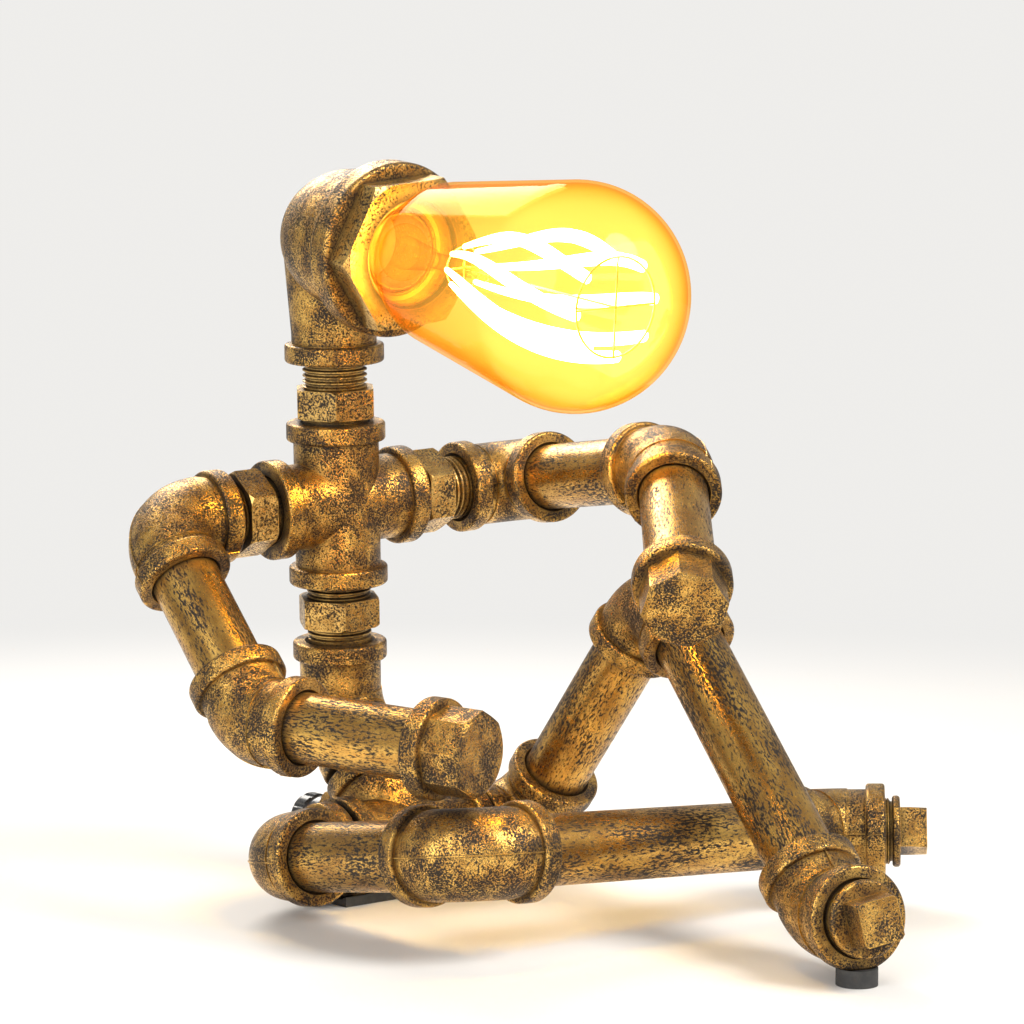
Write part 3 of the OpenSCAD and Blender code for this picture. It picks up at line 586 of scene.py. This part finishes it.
@dataclass(frozen=True)
class TintedGlass:
    """Thin clear glass with a tint, a soft gloss and a painted glow: the wall itself emits light
    that stands in for the lit filament's light in it.

    Args:
        name: the finish's name.
        face: tint where the wall is seen square on.
        rim: tint where the wall is seen edge on.
        gloss: colour of the reflections.
        gloss_share: share of the reflections, square on and edge on.
        glow_middle: colour of the painted glow, square on.
        glow_rim: colour of the painted glow, edge on.
        glow_strength: strength of the painted glow.
        rim_glow: share of the glow that is left, edge on.
        root_mm: how far from glow_from the glow is still weak.
        root_share: share of root_mm that isn't lit any more than the root.
        root_glow: share of the glow at its root.
        glow_from: its root, in the shared frame.
        wave_mm: size of the waves in the glass.
        wave_depth_mm: depth of the waves.
        wave_strength: how much of them shows.
    """

    name: str
    face: Colour = (1.0, 0.90, 0.58)
    rim: Colour = (0.97, 0.68, 0.26)
    gloss: Colour = (0.85, 0.62, 0.34)
    gloss_share: Span = (0.035, 0.25)
    glow_middle: Colour = (1.0, 0.58, 0.09)
    glow_rim: Colour = (1.0, 0.36, 0.015)
    glow_strength: float = 0.24
    rim_glow: float = 0.55
    root_mm: float = 50.0
    root_share: float = 0.2
    root_glow: float = 0.12
    glow_from: Place = (-10.5, -13.0, 205.0)
    wave_mm: float = 14.0
    wave_depth_mm: float = 0.25
    wave_strength: float = 0.15

    def _painted_glow(self, recipe: Recipe, side: Socket) -> Socket:
        """Paints a glow on the wall, an emission that stands in for the filament's light, weak
        near the lamp's cap and full further out.

        Args:
            recipe: the material.
            side: 0 where the wall is seen square on, 1 where it is seen edge on.

        Returns:
            The painted glow's shader.
        """
        reach = self.root_mm * MM
        lit = recipe.ramp(recipe.distance(self.glow_from),
                          (reach * self.root_share, reach), (self.root_glow, 1.0))
        strength = recipe.calc("MULTIPLY", recipe.ramp(side, (0.0, 1.0), (1.0, self.rim_glow)),
                               lit)
        # Painted glow: the glass wall emits light in place of the filament's light shining in it.
        node = recipe.add("ShaderNodeEmission")
        recipe.join(recipe.mix(side, self.glow_middle, self.glow_rim), node.inputs["Color"])
        recipe.join(recipe.calc("MULTIPLY", strength, self.glow_strength),
                    node.inputs["Strength"])
        return node.outputs["Emission"]

    def material(self, axis: Vector | None = None) -> bpy.types.Material:
        """Builds the finish, a tint under a gloss with a painted glow on the wall; glass has no
        grain or axis.
        """
        recipe = Recipe(self.name)
        recipe.put(Base_Color=(*self.gloss, 1.0), Metallic=1.0, Roughness=0.07)
        recipe.bump(recipe.noise(self.wave_mm, detail=2.0), self.wave_depth_mm,
                    self.wave_strength)
        weight = recipe.add("ShaderNodeLayerWeight")
        weight.inputs["Blend"].default_value = 0.5
        facing = weight.outputs["Facing"]
        side = recipe.ramp(facing, (0.35, 1.0))
        clear = recipe.add("ShaderNodeBsdfTransparent")
        recipe.join(recipe.mix(side, self.face, self.rim), clear.inputs["Color"])
        glossy = recipe.blend(recipe.ramp(facing, (0.6, 1.0), self.gloss_share),
                              clear.outputs["BSDF"], recipe.shader.outputs["BSDF"])
        total = recipe.add("ShaderNodeAddShader")
        recipe.join(glossy, total.inputs[0])
        recipe.join(self._painted_glow(recipe, side), total.inputs[1])
        recipe.join(total.outputs["Shader"], recipe.output.inputs["Surface"])
        return recipe.material


@dataclass(frozen=True)
class Glowing:
    """A lit filament coating.

    Args:
        name: the finish's name.
        colour: colour of the light.
        bead_colour: colour of the brighter beads in it.
        bead_mm: size of the beads.
        strength: strength of the light.
    """

    name: str
    colour: Colour = (1.0, 0.78, 0.42)
    bead_colour: Colour = (1.0, 0.86, 0.55)
    bead_mm: float = 1.2
    strength: float = 34.0

    def material(self, axis: Vector | None = None) -> bpy.types.Material:
        """Builds the finish, with faint beads; the coating has no grain or axis."""
        recipe = Recipe(self.name)
        bead = recipe.noise(self.bead_mm, detail=2.0)
        recipe.put(Base_Color=(*self.colour, 1.0), Roughness=0.6,
                   Emission_Color=recipe.mix(bead, self.colour, self.bead_colour),
                   Emission_Strength=self.strength)
        return recipe.material


class Finish(Enum):
    """The lamp's finishes, each named after a material slot or a node of its own."""

    CAST_FITTING = AntiqueBronze("cast_fitting_finish")
    PIPE = AntiqueBronze("pipe_finish", bronze=(0.47, 0.25, 0.062), patina_share=0.33,
                         speckle_mm=0.6, grain_mm=1.2, grain_depth_mm=0.015, streak=0.32)
    NIPPLE = AntiqueBronze("nipple_finish", gold=(0.86, 0.55, 0.17), bronze=(0.54, 0.31, 0.085),
                           patina_share=0.34, speckle_mm=0.7, grain_mm=1.2,
                           grain_depth_mm=0.02)
    HEX_BUSHING = AntiqueBronze("bushing_finish", gold=(0.90, 0.60, 0.19),
                                bronze=(0.66, 0.40, 0.11), patina_share=0.14, speckle_mm=0.8,
                                grain_depth_mm=0.02)
    PAD = Plain("pad_finish", (0.035, 0.035, 0.035), (0.06, 0.058, 0.055), roughness=0.8)
    SEAL = Plain("seal_finish", (0.10, 0.10, 0.10), (0.14, 0.14, 0.135), roughness=0.75)
    BLACK_PLASTIC = Plain("black_plastic_finish", (0.016, 0.016, 0.017), (0.03, 0.03, 0.03),
                          roughness=0.3, coat=0.3)
    SWITCH_CASE = Plain("switch_case_finish", (0.08, 0.15, 0.29), (0.10, 0.18, 0.33))
    LEAD = Plain("lead_finish", (0.025, 0.025, 0.025), (0.04, 0.04, 0.04), roughness=0.55)
    BRASS = Plain("brass_finish", (0.78, 0.55, 0.22), (0.62, 0.41, 0.15), metallic=1.0,
                  roughness=0.3, grain_mm=0.8, grain_depth_mm=0.01)
    CERAMIC = Plain("ceramic_finish", (0.82, 0.79, 0.72), (0.88, 0.86, 0.80), roughness=0.25,
                    coat=0.4)
    # Both glass finishes paint a glow on their walls in place of the filament's light.
    AMBER_GLASS = TintedGlass("amber_glass_finish")
    STEM_GLASS = TintedGlass("stem_glass_finish", face=(1.0, 0.92, 0.72), rim=(0.9, 0.6, 0.25))
    FILAMENT = Glowing("filament_finish")


# The finishes by material slot, or by node where one differs from its slot.
FINISHES = {finish.name.lower(): finish for finish in Finish}


class Wardrobe:
    """Builds each finish once and hands it to the pieces that wear it."""

    def __init__(self) -> None:
        """Starts with no finish built."""
        self._built: dict[tuple[str, str], bpy.types.Material] = {}

    def wear(self, piece: Piece, finish: Finish, axis: Vector | None = None) -> None:
        """Gives a piece its finish.

        Args:
            piece: the object to dress.
            finish: what it wears.
            axis: direction of the pattern, which makes the finish the piece's own.
        """
        key = (finish.name, piece.name if axis is not None else "")
        if key not in self._built:
            self._built[key] = finish.value.material(axis)
        piece.data.materials.clear()
        piece.data.materials.append(self._built[key])


# -------------------- mesh tools


def finish_piece(shape: Shape, name: str) -> Piece:
    """Turns a drawn shape into a smoothly shaded object at the origin, in metres.

    Args:
        shape: the shape in millimetres, in the shared frame; it is freed.
        name: the object's name.

    Returns:
        The new object, linked to the scene.
    """
    bmesh.ops.remove_doubles(shape, verts=shape.verts, dist=WELD_MM)
    bmesh.ops.recalc_face_normals(shape, faces=shape.faces)
    bmesh.ops.scale(shape, vec=(MM, MM, MM), verts=shape.verts)
    for face in shape.faces:
        face.smooth = True
    limit = math.radians(SHARP_ANGLE)
    for edge in shape.edges:
        if edge.is_manifold and edge.calc_face_angle(0.0) > limit:
            edge.smooth = False
    mesh = bpy.data.meshes.new(name)
    shape.to_mesh(mesh)
    shape.free()
    piece = bpy.data.objects.new(name, mesh)
    bpy.context.scene.collection.objects.link(piece)
    return piece


def put_at(shape: Shape, place: Frame, verts: Iterable | None = None) -> None:
    """Moves drawn vertices, or all of them, from a frame's own axes to the shared frame."""
    bmesh.ops.transform(shape, matrix=place.matrix,
                        verts=list(verts) if verts is not None else shape.verts[:])


def draw_ring(shape: Shape, radius: float, sides: int, place: Matrix) -> list:
    """Draws a ring of edges.

    Args:
        shape: where it is drawn.
        radius: the ring's radius.
        sides: how many edges it has.
        place: where its middle is and how it is turned.

    Returns:
        Its vertices and edges.
    """
    verts = bmesh.ops.create_circle(shape, cap_ends=False, segments=sides, radius=radius,
                                    matrix=place)["verts"]
    edges = dict.fromkeys(edge for vert in verts for edge in vert.link_edges)
    return [*verts, *edges]


def spin_round(shape: Shape, parts: list, angle: float, steps: int, rise: float = 0.0) -> None:
    """Spins parts round the Z axis, climbing by rise, and welds the ends of a full turn."""
    bmesh.ops.spin(shape, geom=parts, cent=ORIGIN, axis=UP, dvec=(0.0, 0.0, rise / steps),
                   angle=angle, steps=steps, use_merge=angle == math.tau,
                   use_normal_flip=False, use_duplicate=False)


# -------------------- sub-assemblies


@dataclass(frozen=True)
class MouldSeams:
    """The thin flash lines that the two mould halves leave round each cast elbow."""

    skeleton: Skeleton
    wardrobe: Wardrobe
    body_r: float = 13.2
    bead_r: float = 15.0
    bead_w: float = 6.0
    bead_margin: float = 1.0
    bend_radius: float = 15.0
    bend_swell: float = 0.3
    bend_steps: int = 20
    seam_width: float = 0.9
    seam_top_share: float = 0.35
    seam_rise: float = 0.35
    seam_root: float = 0.5
    seam_tuck: float = 0.4
    bead_seam_drop: float = 0.15

    def _profile(self, shape: Shape, side: float, radius: float, height: float) -> list[Face]:
        """Draws the seam's cross-section beside the elbow's inlet axis.

        Args:
            shape: where it is drawn.
            side: -1 for the outside of the bend and 1 for the inside.
            radius: surface the seam stands on.
            height: place along the inlet axis.

        Returns:
            The one new face.
        """
        low = side * (radius - self.seam_root)
        high = side * (radius + self.seam_rise)
        half = self.seam_width / 2.0
        top = half * self.seam_top_share
        corners = ((low, -half), (low, half), (high, top), (high, -top))
        return [shape.faces.new([shape.verts.new((x, y, height)) for x, y in corners])]

    def _extend(self, shape: Shape, faces: list[Face], step: Vector) -> list[Face]:
        """Pulls the seam's end face on.

        Args:
            shape: where the seam is drawn.
            faces: its end face.
            step: how far and which way.

        Returns:
            The new end face.
        """
        made = bmesh.ops.extrude_face_region(shape, geom=faces)["geom"]
        verts = [part for part in made if isinstance(part, Vert)]
        bmesh.ops.translate(shape, vec=step, verts=verts)
        bmesh.ops.delete(shape, geom=faces, context="FACES_ONLY")
        return [part for part in made if isinstance(part, Face)]

    def _ridge(self, shape: Shape, side: float, bend: Bend) -> None:
        """Draws one seam from bead to bead of an elbow.

        Args:
            shape: where it is drawn.
            side: -1 for the outside of the bend and 1 for the inside.
            bend: the elbow's kind.
        """
        angle = math.radians(bend.angle)
        straight = bend.reach - self.bend_radius * math.tan(angle / 2.0)
        free = straight - self.bead_w + self.seam_tuck
        end = self._profile(shape, side, self.body_r + self.bend_swell,
                            self.bead_w - self.seam_tuck)
        start = end[0].verts[:]
        end = self._extend(shape, end, Vector((0.0, 0.0, free)))
        turned = bmesh.ops.spin(shape, geom=end, cent=(self.bend_radius, 0.0, straight),
                                axis=(0.0, 1.0, 0.0), dvec=ORIGIN, angle=angle,
                                steps=self.bend_steps, use_merge=False,
                                use_normal_flip=False, use_duplicate=False)
        bmesh.ops.delete(shape, geom=end, context="FACES_ONLY")
        last = [part for part in turned["geom_last"] if isinstance(part, Face)]
        self._extend(shape, last, Vector((math.sin(angle), 0.0, math.cos(angle))) * free)
        shape.faces.new(start[::-1])

    def _bead_ridge(self, shape: Shape, side: float) -> list[Vert]:
        """Draws the short seam across the bead at the inlet.

        Args:
            shape: where it is drawn.
            side: -1 for the outside of the bend and 1 for the inside.

        Returns:
            The new vertices.
        """
        before = set(shape.verts)
        end = self._profile(shape, side, self.bead_r - self.bead_seam_drop, self.bead_margin)
        start = end[0].verts[:]
        self._extend(shape, end, Vector((0.0, 0.0, self.bead_w - 2.0 * self.bead_margin)))
        shape.faces.new(start[::-1])
        return [vert for vert in shape.verts if vert not in before]

    def _seam(self, name: str, body: str, inlet: Frame, bend: Bend, turn: float) -> Piece:
        """Builds both seams of one elbow.

        Args:
            name: the piece's name.
            body: the body that it rides on.
            inlet: the elbow's inlet frame.
            bend: its kind.
            turn: its turn about the inlet axis.

        Returns:
            The seams, as one object.
        """
        shape = bmesh.new()
        outlet = Frame(Matrix.Identity(4)).past_bend(bend, 0.0).turned(2.0 * QUARTER_TURN, "X")
        for side in (-1.0, 1.0):
            self._ridge(shape, side, bend)
            self._bead_ridge(shape, side)
            put_at(shape, outlet, self._bead_ridge(shape, side))
        put_at(shape, inlet.turned(turn, "Z"))
        piece = finish_piece(shape, name)
        self.wardrobe.wear(piece, Finish.CAST_FITTING)
        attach(piece, body)
        return piece

    def build(self) -> list[Piece]:
        """Builds the seams of the hip, knee, foot, shoulder and arm elbows, one object for each.
        """
        s = self.skeleton
        arms = (("right", s.right_arm), ("left", s.left_arm))
        legs = (("right", s.right_leg), ("left", s.left_leg))
        plans = [(f"{side}_hip_seam", "base", leg.root, leg.first, leg.first_turn)
                 for side, leg in legs]
        plans += [(f"{side}_knee_seam", "base", leg.middle, leg.second, leg.second_turn)
                  for side, leg in legs]
        plans += [("right_foot_seam", "base", s.right_foot, s.half_elbow, s.right_foot_turn),
                  ("left_foot_seam", "base", s.left_foot, s.half_elbow, s.left_foot_turn)]
        plans += [(f"{side}_shoulder_seam", f"{side}_upper_arm", arm.root, arm.first,
                   arm.first_turn) for side, arm in arms]
        plans += [(f"{side}_arm_seam", f"{side}_forearm", arm.middle, arm.second,
                   arm.second_turn) for side, arm in arms]
        return [self._seam(*plan) for plan in plans]


@dataclass(frozen=True)
class Bulb:
    """The filament bulb: blown glass, and lit strands on wires round the stem.

    Heights are measured from the head elbow's large mouth.
    """

    skeleton: Skeleton
    wardrobe: Wardrobe
    glass_r: float = 34.0
    centre: float = 88.0
    end_ratio: float = 0.96
    wall: float = 0.9
    cone_angle: float = 8.5
    glass_from: float = 1.5
    neck_r: float = 13.5
    neck_ease: float = 0.45
    neck_steps: int = 16
    flare_z: float = 27.0
    dome_steps: int = 44
    glass_sides: int = 96
    strand_r: float = 0.8
    strand_from: float = 34.0
    strand_rise: float = 72.0
    strand_low_r: float = 6.5
    strand_high_r: float = 17.0
    strand_count: int = 8
    strand_twist: float = 50.0
    strand_opening: float = 0.72
    strand_sides: int = 10
    strand_steps: int = 40
    wire_r: float = 0.35
    wire_sides: int = 8
    hoop_steps: int = 48
    spoke_count: int = 4

    def _outline(self, inset: float) -> list[Span]:
        """Lists radius and height along the neck, cone and dome, pulled in by an inset."""
        lean = math.radians(self.cone_angle)
        cone_z = self.centre - self.glass_r * math.sin(lean)
        cone_r = self.glass_r * math.cos(lean)
        flare_r = cone_r - (cone_z - self.flare_z) * math.tan(lean)
        points = []
        for i in range(self.neck_steps + 1):
            t = i / self.neck_steps
            ease = t * t * (3.0 - 2.0 * t) * self.neck_ease + t * (1.0 - self.neck_ease)
            radius = self.neck_r + (flare_r - self.neck_r) * ease
            points.append((radius - inset, self.glass_from + (self.flare_z - self.glass_from) * t))
        for i in range(self.dome_steps + 1):
            angle = -lean + i * (math.pi / 2.0 + lean) / self.dome_steps
            squash = self.end_ratio if angle > 0.0 else 1.0
            points.append((max(0.0, (self.glass_r - inset) * math.cos(angle)),
                           self.centre + (self.glass_r - inset) * math.sin(angle) * squash))
        return points

    def _glass(self) -> Piece:
        """Spins the glass, outside and inside, round the mouth's axis."""
        shape = bmesh.new()
        rim = self._outline(0.0)
        inner = self._outline(self.wall)[::-1]
        verts = [shape.verts.new((r, 0.0, z)) for r, z in rim + inner]
        count = len(rim)
        edges = [shape.edges.new(pair) for pair in zip(verts[:count - 1], verts[1:count])]
        edges += [shape.edges.new(pair) for pair in zip(verts[count:-1], verts[count + 1:])]
        edges.append(shape.edges.new((verts[0], verts[-1])))
        spin_round(shape, verts + edges, math.tau, self.glass_sides)
        put_at(shape, self.skeleton.mouth)
        piece = finish_piece(shape, "blown_glass")
        self.wardrobe.wear(piece, Finish.AMBER_GLASS)
        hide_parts("bulb_glass")
        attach(piece, "head")
        return piece

    def _opening(self, rise: float) -> float:
        """Returns how far the strands stand open at a share of their rise, 0 to 1."""
        return math.sin(rise * math.pi * self.strand_opening)

    def _strand(self, shape: Shape, start_angle: float) -> None:
        """Winds one lit strand that opens out from the stem as it rises.

        Args:
            shape: where it is drawn.
            start_angle: where it starts round the axis, in radians.
        """
        before = set(shape.verts)
        foot = Matrix.Translation((self.strand_low_r, 0.0, self.strand_from))
        ring = draw_ring(shape, self.strand_r, self.strand_sides, foot)
        spin_round(shape, ring, math.radians(self.strand_twist), self.strand_steps,
                   self.strand_rise)
        fresh = [vert for vert in shape.verts if vert not in before]
        for vert in fresh:
            rise = min(1.0, max(0.0, (vert.co.z - self.strand_from) / self.strand_rise))
            grow = 1.0 + (self.strand_high_r / self.strand_low_r - 1.0) * self._opening(rise)
            vert.co.x *= grow
            vert.co.y *= grow
        loose = dict.fromkeys(edge for vert in fresh for edge in vert.link_edges
                              if edge.is_boundary)
        bmesh.ops.holes_fill(shape, edges=list(loose), sides=self.strand_sides)
        bmesh.ops.rotate(shape, cent=ORIGIN, verts=fresh,
                         matrix=Matrix.Rotation(start_angle, 3, "Z"))

    def _strands(self) -> Piece:
        """Winds all the strands, as one object."""
        shape = bmesh.new()
        for i in range(self.strand_count):
            self._strand(shape, math.tau * i / self.strand_count)
        put_at(shape, self.skeleton.mouth)
        piece = finish_piece(shape, "filament_strands")
        self.wardrobe.wear(piece, Finish.FILAMENT)
        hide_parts("bulb_filaments")
        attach(piece, "head")
        return piece

    def _wire(self, shape: Shape, start: Vector, end: Vector) -> None:
        """Draws a straight wire from start to end."""
        step = end - start
        middle = Matrix.Translation((start + end) / 2.0)
        turn = Vector(UP).rotation_difference(step).to_matrix().to_4x4()
        bmesh.ops.create_cone(shape, cap_ends=True, cap_tris=False, segments=self.wire_sides,
                              radius1=self.wire_r, radius2=self.wire_r, depth=step.length,
                              matrix=middle @ turn)

    def _supports(self) -> Piece:
        """Draws the wires that carry the strands: a mast, two hoops and their spokes."""
        shape = bmesh.new()
        top = self.strand_from + self.strand_rise
        top_r = (self.strand_low_r
                 + (self.strand_high_r - self.strand_low_r) * self._opening(1.0))
        upright = Matrix.Rotation(math.pi / 2.0, 4, "X")
        self._wire(shape, Vector((0.0, 0.0, self.strand_from)), Vector((0.0, 0.0, top)))
        for radius, height in ((self.strand_low_r, self.strand_from), (top_r, top)):
            rim = Matrix.Translation((radius, 0.0, height)) @ upright
            ring = draw_ring(shape, self.wire_r, self.wire_sides, rim)
            spin_round(shape, ring, math.tau, self.hoop_steps)
            middle = Vector((0.0, 0.0, height))
            for i in range(self.spoke_count):
                turn = Matrix.Rotation(math.tau * i / self.spoke_count, 3, "Z")
                self._wire(shape, middle, turn @ Vector((radius, 0.0, 0.0)) + middle)
        put_at(shape, self.skeleton.mouth)
        piece = finish_piece(shape, "strand_wires")
        self.wardrobe.wear(piece, Finish.BRASS)
        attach(piece, "head")
        return piece

    def build(self) -> list[Piece]:
        """Builds the glass, the strands and their wires."""
        return [self._glass(), self._strands(), self._supports()]


@dataclass(frozen=True)
class Solids:
    """The CAD solids that stay in view, each in its record's finish."""

    skeleton: Skeleton
    wardrobe: Wardrobe

    @property
    def streaks(self) -> dict[str, Frame]:
        """The frame of each pipe, whose +Z the streaks in its paint follow."""
        s = self.skeleton
        return {
            "right_thigh_pipe": s.right_leg.upper, "left_thigh_pipe": s.left_leg.upper,
            "right_shin_pipe": s.right_leg.lower, "left_shin_pipe": s.left_leg.lower,
            "right_upper_arm_pipe": s.right_arm.upper, "left_upper_arm_pipe": s.left_arm.upper,
            "right_forearm_pipe": s.right_arm.lower, "left_forearm_pipe": s.left_arm.lower,
        }

    def dress(self) -> list[Piece]:
        """Dresses every CAD solid: in its node's own finish, or else its slot's."""
        slots = {part["node"]: part["material_slot"] for part in frame["record"]["subparts"]}
        streaks = self.streaks
        for name, piece in frame["nodes"].items():
            axis = streaks[name].axis if name in streaks else None
            self.wardrobe.wear(piece, FINISHES.get(name, FINISHES[slots[name]]), axis)
        return list(frame["nodes"].values())


@dataclass(frozen=True)
class SoftLight:
    """One round area light.

    Args:
        name: its name.
        place: where it hangs.
        size: its diameter.
        power: its power, in watts.
        colour: its colour.
    """

    name: str
    place: Place
    size: float
    power: float
    colour: Colour


@dataclass(frozen=True)
class Studio:
    """The pale floor, the soft lights and the camera."""

    camera_place: Place = (-627.1, -812.7, 212.4)
    heading: float = 39.579
    dip: float = 5.008
    focal_pixels: float = 3238.4
    image_pixels: float = 1024.0
    sensor: float = 36.0
    near_clip: float = 50.0
    floor_size: float = 6000.0
    floor_drop: float = 0.05
    floor_colour: Colour = (0.80, 0.79, 0.77)
    floor_mottle: Colour = (0.84, 0.83, 0.815)
    mottle_mm: float = 180.0
    fade_from: float = 250.0
    fade_to: float = 750.0
    background: Colour = (0.86, 0.85, 0.83)
    sky_colour: Colour = (1.0, 0.985, 0.96)
    sky_strength: float = 0.45
    aim: Place = (0.0, -60.0, 110.0)
    lights: tuple[SoftLight, ...] = (
        SoftLight("key", (300.0, -900.0, 900.0), 600.0, 14.0, (1.0, 0.97, 0.92)),
        SoftLight("fill", (-1000.0, -300.0, 500.0), 800.0, 7.0, (0.98, 0.99, 1.0)),
        SoftLight("back", (300.0, 800.0, 800.0), 600.0, 9.0, (1.0, 0.95, 0.88)),
    )

    def _camera(self) -> None:
        """Places the camera."""
        camera = bpy.data.cameras.new("view")
        camera.sensor_width = self.sensor
        camera.lens = self.focal_pixels / self.image_pixels * self.sensor
        camera.clip_start = self.near_clip * MM
        holder = bpy.data.objects.new("view", camera)
        holder.location = Vector(self.camera_place) * MM
        holder.rotation_euler = (math.radians(90.0 - self.dip), 0.0, -math.radians(self.heading))
        bpy.context.scene.collection.objects.link(holder)
        bpy.context.scene.camera = holder

    def _floor(self) -> None:
        """Lays the floor, which fades into the background away from the lamp."""
        shape = bmesh.new()
        bmesh.ops.create_grid(shape, x_segments=2, y_segments=2, size=self.floor_size / 2.0)
        bmesh.ops.translate(shape, vec=(0.0, 0.0, -self.floor_drop), verts=shape.verts)
        floor = finish_piece(shape, "floor")
        recipe = Recipe("floor_finish")
        shade = recipe.noise(self.mottle_mm, detail=3.0)
        recipe.put(Base_Color=recipe.mix(shade, self.floor_colour, self.floor_mottle),
                   Roughness=0.7)
        path = recipe.add("ShaderNodeLightPath")
        seen = recipe.calc("MAXIMUM", path.outputs["Is Camera Ray"], path.outputs["Is Glossy Ray"])
        far = recipe.ramp(recipe.distance(ORIGIN), (self.fade_from * MM, self.fade_to * MM))
        pale = recipe.add("ShaderNodeEmission")
        pale.inputs["Color"].default_value = (*self.background, 1.0)
        faded = recipe.blend(recipe.calc("MULTIPLY", far, seen), recipe.shader.outputs["BSDF"],
                             pale.outputs["Emission"])
        recipe.join(faded, recipe.output.inputs["Surface"])
        floor.data.materials.append(recipe.material)

    def _sky(self) -> None:
        """Sets soft light all round, and a pale background where it is seen directly."""
        world = bpy.data.worlds.new("soft_room")
        bpy.context.scene.world = world
        world.use_nodes = True
        nodes, links = world.node_tree.nodes, world.node_tree.links
        nodes.clear()
        output = nodes.new("ShaderNodeOutputWorld")
        light = nodes.new("ShaderNodeBackground")
        light.inputs["Color"].default_value = (*self.sky_colour, 1.0)
        light.inputs["Strength"].default_value = self.sky_strength
        seen = nodes.new("ShaderNodeBackground")
        seen.inputs["Color"].default_value = (*self.background, 1.0)
        path = nodes.new("ShaderNodeLightPath")
        mix = nodes.new("ShaderNodeMixShader")
        links.new(path.outputs["Is Camera Ray"], mix.inputs["Fac"])
        links.new(light.outputs["Background"], mix.inputs[1])
        links.new(seen.outputs["Background"], mix.inputs[2])
        links.new(mix.outputs["Shader"], output.inputs["Surface"])

    def _hang(self, plan: SoftLight) -> None:
        """Hangs one light, facing the middle of the figure."""
        light = bpy.data.lights.new(plan.name, "AREA")
        light.shape = "DISK"
        light.size = plan.size * MM
        light.energy = plan.power
        light.color = plan.colour
        holder = bpy.data.objects.new(plan.name, light)
        holder.location = Vector(plan.place) * MM
        sight = Vector(self.aim) * MM - holder.location
        holder.rotation_euler = sight.to_track_quat("-Z", "Y").to_euler()
        bpy.context.scene.collection.objects.link(holder)

    def build(self) -> None:
        """Builds the room, the lights and the camera."""
        self._floor()
        self._sky()
        for plan in self.lights:
            self._hang(plan)
        self._camera()
        bpy.context.scene.view_settings.view_transform = "Standard"


def main() -> None:
    """Builds the scene in order and reports each piece."""
    logging.basicConfig(level=logging.INFO, format="%(name)s: %(message)s")
    skeleton = Skeleton()
    wardrobe = Wardrobe()
    Studio().build()
    for piece in Solids(skeleton, wardrobe).dress():
        LOG.info("dressed %s", piece.name)
    made = MouldSeams(skeleton, wardrobe).build() + Bulb(skeleton, wardrobe).build()
    for piece in made:
        LOG.info("built %s, %d faces", piece.name, len(piece.data.polygons))


if __name__ == "__main__":
    main()
